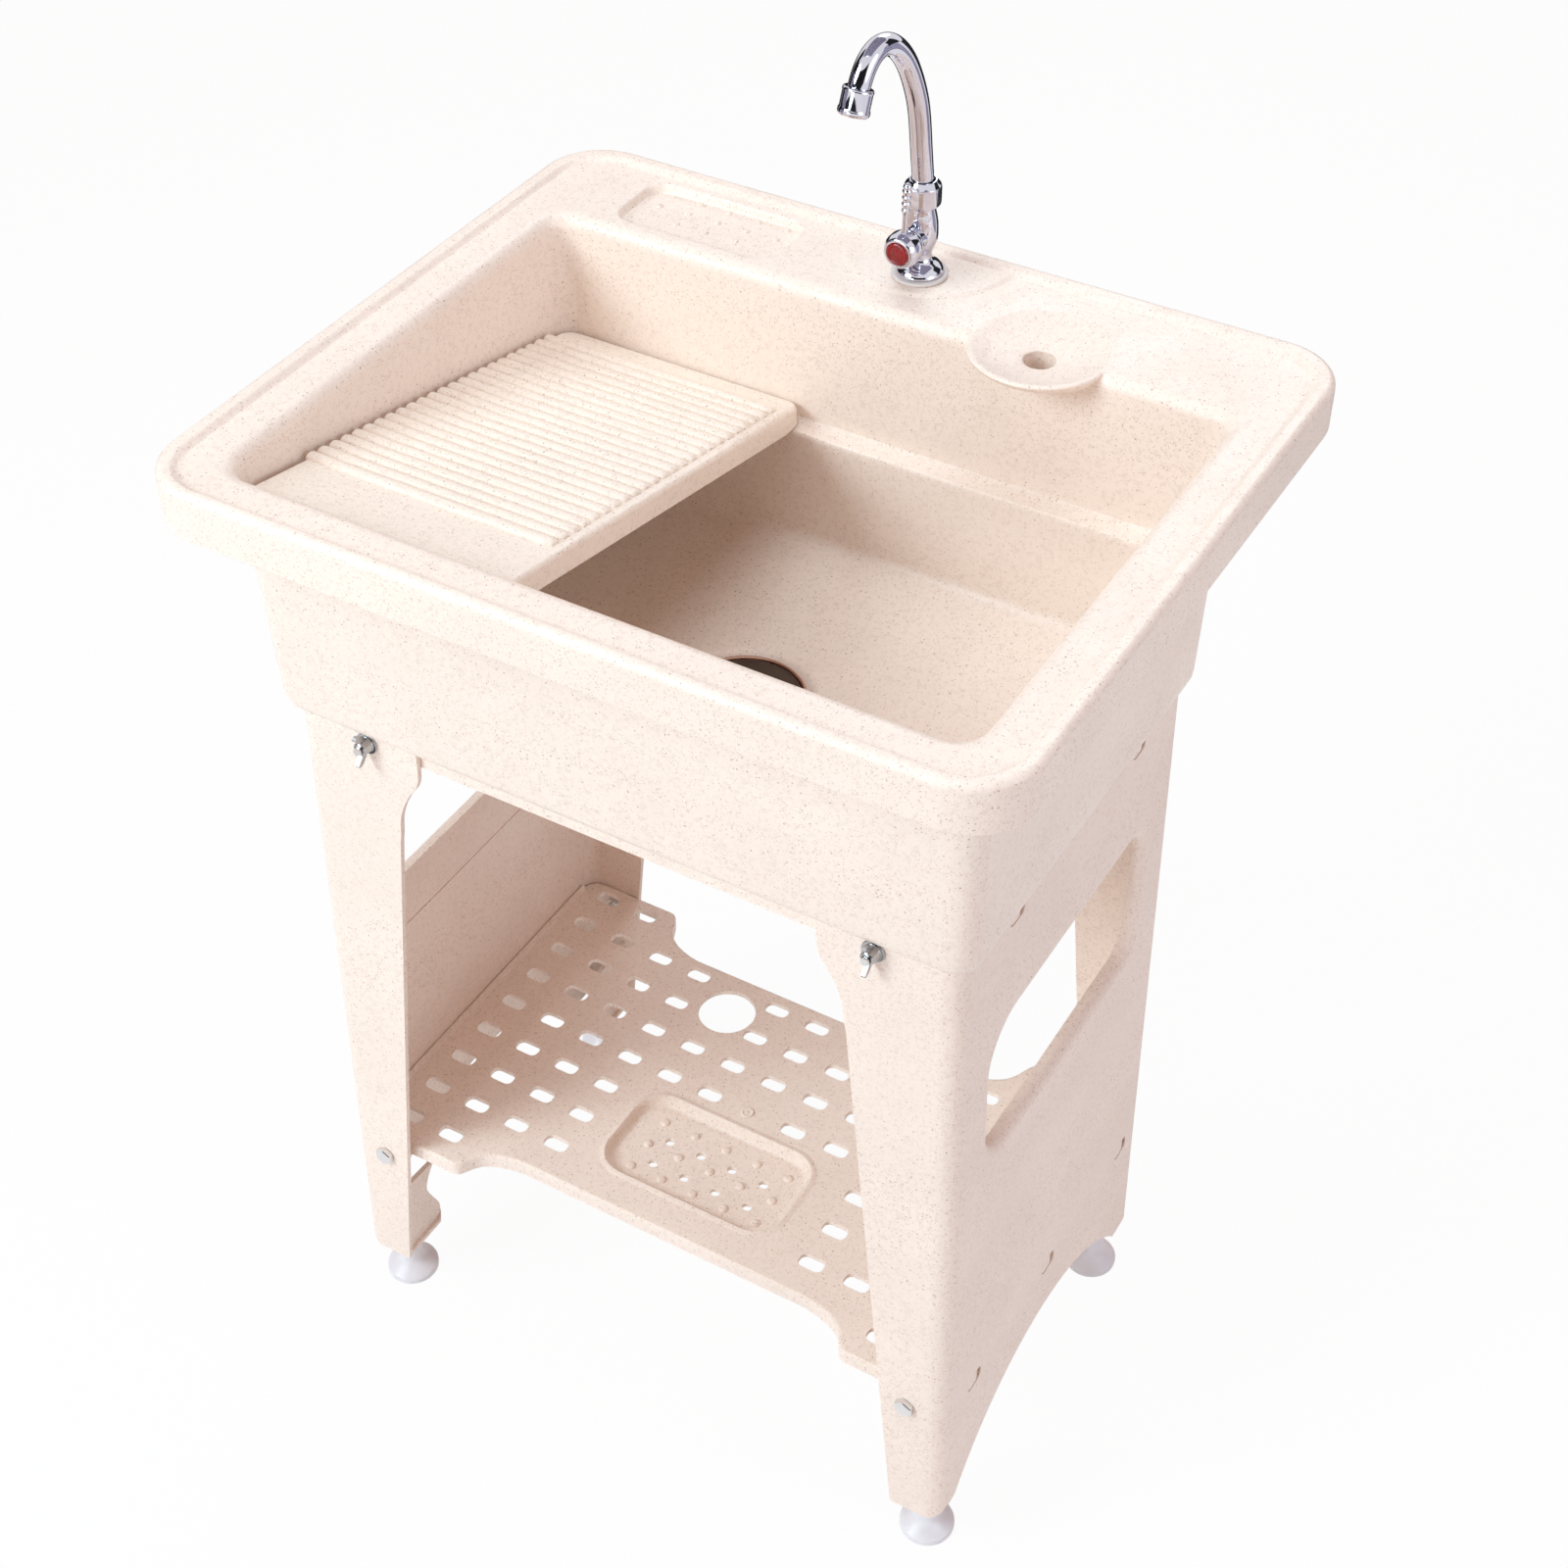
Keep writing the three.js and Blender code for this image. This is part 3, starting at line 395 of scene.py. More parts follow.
# ---- repeats --------------------------------------------------------------
def repeat_tree():
    """Geometry Nodes: a piece on every point, turned about Z by the point's 'turn', then made real."""
    tree = bpy.data.node_groups.new("Repeat on points", "GeometryNodeTree")
    for name, way, kind in (
            ("Geometry", "INPUT", "NodeSocketGeometry"), ("Piece", "INPUT", "NodeSocketObject"),
            ("Geometry", "OUTPUT", "NodeSocketGeometry")):
        tree.interface.new_socket(name, in_out=way, socket_type=kind)
    entry, leave, source, turn, angles, place, real = (tree.nodes.new(kind) for kind in (
        "NodeGroupInput", "NodeGroupOutput", "GeometryNodeObjectInfo", "GeometryNodeInputNamedAttribute",
        "ShaderNodeCombineXYZ", "GeometryNodeInstanceOnPoints", "GeometryNodeRealizeInstances"))
    turn.data_type = "FLOAT"
    turn.inputs["Name"].default_value = "turn"
    for start, out, end, into in (
            (entry, "Geometry", place, "Points"),
            (entry, "Piece", source, "Object"),
            (source, "Geometry", place, "Instance"),
            (turn, "Attribute", angles, "Z"),
            (angles, "Vector", place, "Rotation"),
            (place, "Instances", real, "Geometry"),
            (real, "Geometry", leave, "Geometry")):
        tree.links.new(start.outputs[out], end.inputs[into])
    return tree


def repeated(name, pattern, places, turns=()):
    """Copies of a pattern piece, which is used up, at places in millimetres, turned by degrees about Z."""
    points = bpy.data.meshes.new(name)
    points.from_pydata([Vector(place) * MM for place in places], [], [])
    spin = points.attributes.new("turn", "FLOAT", "POINT")
    for index, turn in enumerate(turns):
        spin.data[index].value = math.radians(turn)
    whole = new_object(name, points)
    tree = bpy.data.node_groups.get("Repeat on points") or repeat_tree()
    modifier = whole.modifiers.new(tree.name, "NODES")
    modifier.node_group = tree
    modifier[tree.interface.items_tree["Piece"].identifier] = pattern
    bake(whole)
    discard(pattern)
    return whole


def half_round(radius, height, first, last):
    """Points of an arch from step first to step last, at 18 degrees each from its right foot."""
    angles = (step * math.pi / 10 for step in range(first, last + 1))
    return [(radius * math.cos(angle), height * math.sin(angle)) for angle in angles]


def dome(name, radius, height, sides=14):
    """A low round-topped dot that stands on its origin and reaches a little below it."""
    profile = [(0, -1), (radius, -1), (radius, 0), *half_round(radius, height, 1, 4), (0, height)]
    return turned(name, profile, (0, 0, 0), sides)


# ---- materials ------------------------------------------------------------
def feed(tree, socket, value):
    """Links a socket to another one, or sets it to a value."""
    if isinstance(value, bpy.types.NodeSocket):
        tree.links.new(value, socket)
    else:
        socket.default_value = value


def add_node(tree, kind, inputs=None, **settings):
    node = tree.nodes.new(kind)
    for key, value in settings.items():
        setattr(node, key, value)
    for key, value in (inputs or {}).items():
        feed(tree, node.inputs[key], value)
    return node


class Shading:
    """Builds one material's nodes, in place of the frame's plain material of that name."""

    def __init__(self, name):
        plain = bpy.data.materials.get(name)
        if plain:
            bpy.data.materials.remove(plain)
        self.material = bpy.data.materials.new(name)
        self.material.use_nodes = True
        self.tree = self.material.node_tree
        self.tree.nodes.clear()
        self.shader = self.add("ShaderNodeBsdfPrincipled")
        self.add("ShaderNodeOutputMaterial", {"Surface": self.shader.outputs["BSDF"]})
        self.place = self.add("ShaderNodeTexCoord").outputs["Object"]

    def add(self, kind, inputs=None, **settings):
        return add_node(self.tree, kind, inputs, **settings)

    def set(self, **values):
        """Feeds the shader's inputs, with _ for each space in their names."""
        for key, value in values.items():
            feed(self.tree, self.shader.inputs[key.replace("_", " ")], value)

    def noise(self, scale, detail=2.0, roughness=0.5):
        return self.add("ShaderNodeTexNoise", {
            "Vector": self.place, "Scale": scale, "Detail": detail, "Roughness": roughness}).outputs["Fac"]

    def jitter(self, scale, reach):
        """The place moved about a little, which makes round cells ragged."""
        node = self.add("ShaderNodeTexNoise", {"Vector": self.place, "Scale": scale, "Detail": 1.0})
        centred = self.add(
            "ShaderNodeVectorMath", {0: node.outputs["Color"], 1: (0.5,) * 3}, operation="SUBTRACT")
        return self.add("ShaderNodeVectorMath", {
            0: centred.outputs["Vector"], 1: (reach,) * 3, 2: self.place},
            operation="MULTIPLY_ADD").outputs["Vector"]

    def ramp(self, value, low, high, out_low=0.0, out_high=1.0):
        return self.add("ShaderNodeMapRange", {
            "Value": value, "From Min": low, "From Max": high, "To Min": out_low, "To Max": out_high},
            interpolation_type="SMOOTHSTEP").outputs["Result"]

    def cloud(self, scale, detail, out_low=0.0, out_high=1.0, low=0.3, high=0.7):
        """Noise spread over the whole range from out_low to out_high."""
        return self.ramp(self.noise(scale, detail), low, high, out_low, out_high)

    def times(self, first, second):
        return self.add("ShaderNodeMath", {0: first, 1: second}, operation="MULTIPLY").outputs["Value"]

    def mix(self, share, first, second):
        """A blend of two colours; the numbers are the colour sockets of the node."""
        return self.add("ShaderNodeMix", {
            0: share, 6: as_colour(first), 7: as_colour(second)}, data_type="RGBA").outputs[2]

    def bump(self, height, strength, distance, normal=None):
        """A normal; the distance is in millimetres."""
        inputs = {"Height": height, "Strength": strength, "Distance": distance * MM}
        if normal is not None:
            inputs["Normal"] = normal
        return self.add("ShaderNodeBump", inputs).outputs["Normal"]


def as_colour(value):
    return value if isinstance(value, bpy.types.NodeSocket) else (*value[:3], 1.0)


def shade(colour, share):
    return tuple(min(1.0, channel * share) for channel in colour)


def flecked_plastic(name, base, settings, roughness):
    """Moulded plastic: soft mottling, flecks of three sizes, a faint orange-peel skin and uneven sheen."""
    look = Shading(name)
    clouds = look.ramp(look.noise(9.0, 3.0, 0.6), 0.35, 0.68)
    colour = look.mix(clouds, shade(base, 0.98), shade(base, 1.02))
    mottle = look.ramp(look.noise(260.0, 3.0, 0.7), 0.47, 0.72, 0.0, 0.7)
    colour = look.mix(mottle, colour, (base[0] * 0.86, base[1] * 0.82, base[2] * 0.80))
    wobble = look.jitter(900.0, 0.0012)
    flecks = []
    for scale, amount, tone, reach in (
        (1.0, settings.fleck_amount, settings.fleck, 0.24),
        (1.9, settings.fleck_amount * 1.2, shade(settings.fleck, 1.3), 0.32),
        (0.5, settings.fleck_amount * 0.6, settings.dark_fleck, 0.13),
    ):
        cells = look.add("ShaderNodeTexVoronoi", {
            "Vector": wobble, "Scale": scale / settings.fleck_size, "Randomness": 1.0}, feature="F1")
        dots = look.ramp(cells.outputs["Distance"], reach * 0.45, reach, 1.0, 0.0)
        pick = look.add("ShaderNodeSeparateColor", {"Color": cells.outputs["Color"]})
        shown = look.ramp(pick.outputs["Red"], 1.0 - amount, 1.02 - amount)
        weight = look.ramp(pick.outputs["Green"], 0.0, 1.0, 0.22, 0.88)
        flecks.append(look.times(look.times(dots, shown), weight))
        colour = look.mix(flecks[-1], colour, tuple(tone))
    normal = look.bump(look.noise(420.0), 0.10, 0.25)
    normal = look.bump(look.noise(34.0), 0.06, 1.6, normal)
    normal = look.bump(flecks[0], 0.12, 0.12, normal)
    sheen = look.cloud(24.0, 3.0, roughness - 0.05, roughness + 0.07)
    look.set(Base_Color=colour, Roughness=sheen, Normal=normal, IOR=1.46, Specular_IOR_Level=0.42)


def plain_plastic(name, base, roughness):
    look = Shading(name)
    look.set(
        Base_Color=look.mix(look.cloud(60.0, 3.0), shade(base, 0.96), shade(base, 1.02)),
        Roughness=look.cloud(140.0, 2.0, roughness - 0.05, roughness + 0.06),
        Normal=look.bump(look.noise(900.0), 0.12, 0.05))


def polished_metal(name, base, roughness, grain=0.0):
    """Plated metal: a soft unevenness in the plating, and fine turning lines where grain is above 0."""
    look = Shading(name)
    normal = look.bump(look.noise(120.0, 1.0), 0.05, 0.10)
    if grain > 0:
        normal = look.bump(look.noise(2600.0), grain, 0.03, normal)
    look.set(
        Base_Color=look.mix(look.cloud(45.0, 2.0), shade(base, 0.97), shade(base, 1.02)),
        Roughness=look.cloud(90.0, 3.0, roughness, roughness * 1.6, high=0.75),
        Normal=normal, Metallic=1.0)


def glossy_button(name, base):
    """Clear-coated plastic with slightly uneven colour."""
    look = Shading(name)
    look.set(
        Base_Color=look.mix(look.cloud(160.0, 2.0), shade(base, 0.8), shade(base, 1.15)),
        Roughness=look.cloud(260.0, 2.0, 0.16, 0.28),
        Normal=look.bump(look.noise(300.0), 0.08, 0.08), Coat_Weight=0.3, Coat_Roughness=0.05)


def moulded_rubber(name):
    look = Shading(name)
    look.set(
        Base_Color=look.mix(look.cloud(200.0, 3.0), (0.012, 0.012, 0.013), (0.03, 0.03, 0.032)),
        Roughness=look.cloud(300.0, 2.0, 0.6, 0.85),
        Normal=look.bump(look.noise(1400.0), 0.2, 0.08))


class SINK_OT_materials(bpy.types.Operator):
    """Make the materials and give them to the CAD nodes"""
    bl_idname = "sink.materials"
    bl_label = "Materials"

    def execute(self, context):
        settings = context.scene.sink_finish
        flecked_plastic("basin_plastic", settings.basin, settings, 0.38)
        flecked_plastic("stand_plastic", settings.stand, settings, 0.48)
        flecked_plastic("board_plastic", settings.board, settings, 0.40)
        plain_plastic("foot_plastic", (0.84, 0.825, 0.865), 0.34)
        plain_plastic("fitting_plastic", (0.73, 0.67, 0.64), 0.42)
        polished_metal("steel", (0.78, 0.77, 0.77), 0.15, 0.10)
        polished_metal("nut_steel", (0.47, 0.46, 0.47), 0.13, 0.10)
        polished_metal("strainer_steel", (0.13, 0.095, 0.075), 0.36, 0.12)
        # Tap chrome: partly the plating's own colour, partly painted reflection. It is darkened and tinted
        # lavender so that the white surroundings reflect as grey-lavender.
        polished_metal("tap_chrome", (0.66, 0.65, 0.73), 0.045)
        polished_metal("flange_metal", (0.62, 0.38, 0.29), 0.26, 0.10)
        moulded_rubber("seal_rubber")
        glossy_button("button_red", settings.button)
        slots = {row["node"]: row["material_slot"] for row in frame["record"]["subparts"]}
        for node, piece in frame["nodes"].items():
            piece.data.materials.clear()
            piece.data.materials.append(bpy.data.materials[slots[node]])
        return {"FINISHED"}


# ---- basin ----------------------------------------------------------------
DISH_RADIUS = 48.5
TAP_PAD = (-3, 240)
LUG_HALF = 13
TRAY, TRAY_RADII = (-222, -94, 169, 229), (16,) * 4
TRAY_FLOOR = 814
DOT_PITCH = 24
# Rows of tray dots as (y, first x, number of dots).
DOT_ROWS = ((224, -182, 4), (208, -206, 5), (192, -182, 3), (176, -182, 3))


def bolt_hole(x, z, sides=20, reach=FRONT_TO_BACK):
    return prism_y("bolt_hole", circle_outline(x, z, BOLT_HOLE_RADIUS, sides), *reach)


def basin_ring(ring, steps):
    """A ring of the basin from a row of sizes; its height slopes evenly from front to back."""
    half_x, front, back, front_radius, back_radius, z_front, z_back = ring
    slope = (z_back - z_front) / (back - front)
    radii = (back_radius, back_radius, front_radius, front_radius)
    outline = rounded_outline(-half_x, half_x, front, back, radii, steps)
    return at_height(outline, lambda y: z_front + slope * (y - front))


def level(half_x, front, back, front_radius, back_radius, z):
    """The row of sizes of a ring that lies level."""
    return (half_x, front, back, front_radius, back_radius, z, z)


def basin_profile():
    """Rings of the basin from under the floor outwards, over the rim and down into the bowl."""
    skirt_top = level(251, -188, 144, 16, 16, 620)
    neck_top = level(263.5, -216.5, 160, 26, 24, 812)
    rim_side = level(300, -250, 250, 45, 45, 819.5)
    rim_crown = level(295, -245, 245, 40, 40, 825)
    rim_inner = level(290.5, -243, 240.5, 37, 37, 824.9)
    deck_edge = level(266, -221, 163, 25, 24, 821)
    bowl_lip = level(257, -209, 153.5, 19, 16, 811)
    ledge_start = (255.4, -206.5, 152, 17, 15, 779, 718)
    ledge_edge = (254.8, -197, 139, 12.5, 12, 775.5, 714.5)
    wall_foot = (253.5, -190.5, 137, 13, 12, 636, 636)
    return [
        level(241.7, -178.7, 134.7, 7, 7, 621),
        level(241.7, -178.7, 134.7, 7, 7, 603.5),
        level(246.7, -183.7, 139.7, 11.7, 11.7, 603.5),
        level(246.7, -183.7, 139.7, 11.7, 11.7, 620),
        skirt_top,
        *arc_steps(skirt_top, level(260, -197, 146, 18, 19, 634), 4, "fold"),
        (262, -203, 147, 18, 20, 752, 700),
        (262.5, -213, 158, 24, 24, 771, 711),
        neck_top,
        *arc_steps(neck_top, level(266.5, -219.5, 163, 28, 26, 815), 3, "over"),
        level(291, -241, 241, 37, 37, 815),
        level(294.3, -244.3, 244.3, 39.3, 39.3, 812),
        level(294.5, -244.5, 244.5, 39.5, 39.5, 790),
        level(295.5, -245.5, 245.5, 40.5, 40.5, 789),
        level(298.5, -248.5, 248.5, 43.5, 43.5, 789),
        level(299.6, -249.6, 249.6, 44.6, 44.6, 789.9),
        level(300, -250, 250, 45, 45, 791.5),
        rim_side,
        *arc_steps(rim_side, rim_crown, 5, "over"),
        *arc_steps(rim_crown, rim_inner, 2, "line"),
        *arc_steps(rim_inner, level(284.6, -240.2, 233.5, 36, 34, 821), 7, "ess"),
        deck_edge,
        *arc_steps(deck_edge, bowl_lip, 7, "fold"),
        ledge_start,
        *arc_steps(ledge_start, ledge_edge, 3, "over"),
        *arc_steps(ledge_edge, (254.4, -192.5, 137.6, 13, 12, 770, 709), 3, "fold"),
        wall_foot,
        *arc_steps(wall_foot, level(243, -180, 127, 14, 16, 626.5), 6, "over"),
    ]


class SINK_OT_basin(bpy.types.Operator):
    """Mould the basin with its tray, round dish and tap pad"""
    bl_idname = "sink.basin"
    bl_label = "Basin"

    def execute(self, context):
        shapes = context.scene.sink_shapes
        steps = shapes.corner_steps
        profile = [basin_ring(ring, steps) for ring in basin_profile()]

        def drain_outline(radius):
            return circle_outline(*DRAIN, radius, len(profile[0]))

        below = layers(drain_outline, ((27, 597), (46, 597), (50, 603)))
        middle = layers(drain_outline, (
            (52, 609.6), (49.5, 609.2), (47.2, 608.2), (45, 605.8), (43.8, 605), (27, 605)))
        floor = [
            [tuple(a + (b - a) * share for a, b in zip(outer, inner))
             for outer, inner in zip(profile[-1], middle[0])]
            for share in (0.2, 0.4, 0.6, 0.8)]
        shell = loft("basin_moulding", below + profile + floor + middle, looped=True)
        combine(shell, basin_additions(steps), "UNION")
        combine(shell, basin_cuts(steps), "DIFFERENCE")
        soften(shell, shapes.edge, segments=3)
        places = [
            (first + DOT_PITCH * index, y, TRAY_FLOOR)
            for y, first, total in DOT_ROWS for index in range(total)]
        dots = repeated("tray_dots", dome("tray_dot", 2.6, 1.5), places)
        dots.data.shade_smooth()
        finish(merged("basin_moulding", [shell, dots]), "basin_plastic", "sink", "basin")
        return {"FINISHED"}


def basin_additions(steps):
    """The round dish with the swelling under it, its outlet, the tap pad, tray pan and bolt lugs."""
    front = DISH[1] - DISH_RADIUS
    swell = []
    for z, back, shrink in (
            (795, 45, 3), (797.5, 39, 3), (800, 33, 3), (802.6, 27, 3), (805.4, 21, 3), (808.4, 15, 3),
            (811.4, 9.5, 3), (814.2, 5, 2), (816.6, 1.8, 0.6), (818.4, 0.3, 0), (819.6, 0, 0),
            (820.5, 0.5, 0.5), (821, 1.6, 1.6)):
        radius = DISH_RADIUS - shrink
        swell.append(at_height(circle_outline(DISH[0], front + back + radius, radius, 96), z))
    dish = loft("dish_shell", swell)
    trim = block("dish_trim", 40, 190, 100, 172, 796.5, 816)
    combine(trim, [block("dish_trim_pan", 40, 190, 100, 240, 808, 824)], "UNION")
    combine(dish, [trim], "INTERSECT")
    outlet = turned("dish_outlet", [
        (0, 774), (11.6, 774), (12, 776), (12, 802), (14.6, 808), (14.6, 812), (0, 812)], (*DISH, 0))
    pad = loft("tap_pad", layers(lambda radius: circle_outline(*TAP_PAD, radius, 96), (
        (64, 816), (64, 821.05), (62.8, 821.4), (61.4, 822.2), (60, 822.8), (58, 823))))
    combine(pad, [block("pad_trim", -80, 80, 169, 236, 815, 824)], "INTERSECT")
    pan = prism_z("tray_pan", grown_outline(TRAY, TRAY_RADII, 3, steps), 810, 816)
    lugs = [
        block("lug", x - LUG_HALF, x + LUG_HALF, y0, y1, 599, 621.5)
        for x in (-APRON_BOLT[0], APRON_BOLT[0]) for y0, y1 in ((-183.7, -175.7), (131.7, 139.7))]
    return [dish, outlet, pad, pan, *lugs]


def basin_cuts(steps):
    bowl = turned("dish_bowl", [
        (0, 811), (11.2, 811), (12.4, 811.9), (15.5, 812.7), (22, 814.1), (30, 815.9), (36, 817.5),
        (40, 818.9), (42.6, 819.9), (44.6, 820.6), (46.4, 820.98), (47.2, 821.4), (47.2, 825), (0, 825)],
        (*DISH, 0), 96)
    hole = turned("dish_hole", [(0, 776), (10.4, 776), (11.2, 811.2), (0, 811.2)], (*DISH, 0))

    def tray_outline(inset):
        return grown_outline(TRAY, TRAY_RADII, -inset, steps)

    tray = loft("tray_cut", layers(tray_outline, (
        (4, TRAY_FLOOR), (2.2, 814.7), (1.2, 816.4), (0.6, 819), (-0.4, 820.4), (-2, 821.1), (-2.4, 822))))
    tap_hole = prism_z("tap_hole", circle_outline(*TAP, 11, 40), 800, 830)
    bolt_holes = [bolt_hole(side * APRON_BOLT[0], APRON_BOLT[1], 16, (-192, 150)) for side in (-1, 1)]
    return [bowl, hole, tray, tap_hole, *bolt_holes]


# ---- washboard ------------------------------------------------------------
BOARD = {"x0": -252.2, "x1": -55.5, "y0": -204, "y1": 151, "z": 730, "slope": 0.2, "thick": 18}
BOARD_RADII = (10, 13, 16, 13)
RIBS_FROM = -136.5
RIB_SHARP = math.radians(50)


def board_top(y):
    return BOARD["z"] + BOARD["slope"] * (BOARD["y1"] - y)


def board_ring(inset, below, steps):
    box = [BOARD[edge] for edge in ("x0", "x1", "y0", "y1")]
    return at_height(grown_outline(box, BOARD_RADII, -inset, steps), lambda y: board_top(y) - below)


def board_rib():
    """One rounded rib, rooted in the board and narrowing to its right end; its middle is at y 0."""
    half, height = 5.3, 3.4
    section = [*half_round(half, height, 0, 10), (-half, -2.2), (half, -2.2)]
    rings = []
    for along, size in (
            (0.8, 0.92), (1.6, 1.0), (181, 1.0), (184, 0.97), (186.6, 0.85), (188.4, 0.62), (189.4, 0.3)):
        ring = []
        for across, up in section:
            y = across * (0.6 + 0.4 * size)
            ring.append((BOARD["x0"] + along, y, -BOARD["slope"] * y + (up * size if up > 0 else up)))
        rings.append(ring)
    return loft("board_rib", rings)


class SINK_OT_washboard(bpy.types.Operator):
    """Mould the sloping washboard with its ribs"""
    bl_idname = "sink.washboard"
    bl_label = "Washboard"

    def execute(self, context):
        shapes = context.scene.sink_shapes
        steps = shapes.corner_steps
        thick = BOARD["thick"]
        board = loft("washboard_moulding", [board_ring(inset, below, steps) for inset, below in (
            (0, thick), (0, 4), (0.25, 2.6), (1.0, 1.2), (2.2, 0.35), (4, 0))])
        hollow = loft("board_hollow", [board_ring(4, below, steps) for below in (thick + 1, 6)])
        combine(board, [block("board_rest", -247, -61.5, -203, -187, 777.3, 792)], "UNION")
        combine(board, [
            hollow,
            block("ledge_back", -300, 0, 122, 160, 600, 716.3),
            block("ledge_front", -300, 0, -220, -184, 600, 777.3),
        ], "DIFFERENCE")
        soften(board, 0.8)
        pattern = board_rib()
        pattern.data.shade_smooth()
        pattern.data.set_sharp_from_angle(angle=RIB_SHARP)
        rows = [RIBS_FROM + shapes.rib_pitch / MM * index for index in range(shapes.ribs)]
        ribs = repeated("washboard_ribs", pattern, [(0, y, board_top(y)) for y in rows])
        finish(merged("washboard_moulding", [board, ribs]), "board_plastic", "washboard", "washboard")
        return {"FINISHED"}


# ---- side panels ----------------------------------------------------------
STAND_HALF, STAND_FRONT, STAND_SPREAD = 251, -188, (13.5, 4)
STAND_CORNER, STAND_INNER = 16, 130
WINDOW, WINDOW_RADII = (-138, 95, 402, 518), (25, 35, 25, 25)
ARCH = (-30.5, -59.5, 182.5)
# Slots in the panels that show the tenons of the basin and the shelf, as (y, z).
TENONS = ((-113, 609), (68, 609), (-144, 170), (-23, 170), (106, 170))


def stand_at(z):
    """Half width and front of the stand at a height; it spreads from its top to its foot."""
    drop = (STAND_TOP - z) / (STAND_TOP - STAND_FOOT)
    return STAND_HALF + STAND_SPREAD[0] * drop, STAND_FRONT - STAND_SPREAD[1] * drop


def stand_ring(inset, z, steps):
    half_x, front = stand_at(z)
    radius = STAND_CORNER - inset
    outline = rounded_outline(
        STAND_INNER - inset, half_x - inset, front + inset, STAND_BACK - inset, (radius, 1, 1, radius), steps)
    return at_height(outline, z)


def window_outline(grow, steps):
    return grown_outline(WINDOW, WINDOW_RADII, grow, steps)


def flange_cut():
    """The free edge of the flanges, with everything nearer the middle."""
    bend = curve_points([
        (173.6, 529), (172, 539), (171, 549.7), (169.1, 558), (166.3, 566), (163.2, 572.5), (160, 578.2),
        (156.6, 583), (153.8, 587.7), (152.1, 592.5), (151.3, 598), (151, 606)], 3)
    return [(0, 640), (0, 20), (223, 20), (222, STAND_FOOT), (209, 182), *bend, (151, 640)]


def foot_shelf(mirror):
    """The plate that takes a foot stud, and the web beside it."""
    front, back, inner, foot = -191, -140, 222.5, STAND_FOOT

    def place(y):
        return sum(STUD_Y) - y if mirror else y

    plate = prism_z("foot_plate", [(x, place(y)) for x, y in (
        (inner, front), (264.5, front), (264.5, -180), (258, -173), (247, -154), (241, -143), (235, back),
        (inner + 6, back), (inner, back - 8))], foot, foot + 4)
    edge = curve_points([
        (back - 12, foot), (back - 5, 56), (back - 4, 66), (-151, 82), (-156, 96), (-152, 108),
        (-144, 118)], 4)
    web = prism_x("foot_web", [
        (place(y), z) for y, z in ((front, foot), *edge, (front + 4, 122))], inner + 3, inner + 7)
    return [plate, web]


def panel_moulding(name, steps):
    top = STAND_TOP - 0.3
    outer = loft(name, [stand_ring(0, z, steps) for z in (STAND_FOOT, 205, 205.5, top)])
    inside = loft("panel_inside", [stand_ring(WALL, z, steps) for z in (20, 630)])
    envelope = loft("panel_envelope", [stand_ring(0, z, steps) for z in (STAND_FOOT, top)])
    additions = [
        prism_x("window_frame", window_outline(4, steps), 245, 264.5), *foot_shelf(False), *foot_shelf(True)]
    for piece in additions:
        combine(piece, [new_object("envelope_copy", envelope.data.copy())], "INTERSECT")
    discard(envelope)
    arch = prism_x("arch", circle_outline(*ARCH, 160), *THROUGH_PANEL)
    combine(outer, [inside, prism_y("flange_edge", flange_cut(), *FRONT_TO_BACK), arch], "DIFFERENCE")
    combine(outer, additions, "UNION")
    combine(outer, panel_cuts(steps), "DIFFERENCE")
    return outer


def panel_cuts(steps):
    opening = prism_x("window", window_outline(0, steps), *THROUGH_PANEL)
    flare = loft("window_flare", [
        [(stand_at(z)[0] + out, y, z) for y, z in window_outline(grow, steps)] for out, grow in (
            (-7.5, 0), (-5.6, 0.4), (-3.8, 1.3), (-2.3, 2.8), (-1.2, 4.8), (-0.5, 7), (0, 9.6), (0.4, 13))])
    heel = prism_y("heel", [
        (265.5, 47), (265.5, 61), (263.9, 58), (261.9, 53), (258, 49.5), (252.5, 47)], *FRONT_TO_BACK)
    slots = []
    for y, z in TENONS:
        slots += tenon_cuts(y, z)
    studs = [prism_z("stud_hole", circle_outline(STUD_X, y, 4.7, 20), 40, 60) for y in STUD_Y]
    bolts = [bolt_hole(*APRON_BOLT), bolt_hole(*SHELF_BOLT)]
    return [opening, flare, heel, *slots, crease_cut(), *studs, *bolts]


def tenon_cuts(y, z):
    """A groove round a tenon's end, the open rest of its slot, and the gap beside the tenon."""
    face = stand_at(z)[0]

    def cut(name, front, back, half, radii, x0, x1, corner_steps):
        outline = rounded_outline(y + front, y + back, z - half, z + half, radii, corner_steps)
        return prism_x(name, outline, x0, x1)

    groove = cut("tenon_groove", -10, 10, 6.5, (5,) * 4, face - 2.2, 300, 6)
    combine(groove, [cut("tenon_end", -9.2, 4, 5.7, (2.4, 4.2, 4.2, 2.4), 200, face - 0.35, 6)], "DIFFERENCE")
    pocket = cut("tenon_pocket", 3.9, 17, 6.2, (2,) * 4, 200, face - 1.0, 4)
    return groove, pocket, cut("tenon_gap", 3.9, 9.7, 5.2, (3, 1, 1, 3), *THROUGH_PANEL, 4)


def crease_cut():
    """A fine groove along the inside of the panel, under the window."""
    inner = stand_at(341)[0] - WALL
    outline = [(-170, 339.6), (141, 339.6), (141, 341.4), (-170, 341.4)]
    return prism_x("inside_crease", outline, inner - 6, inner + 0.9)


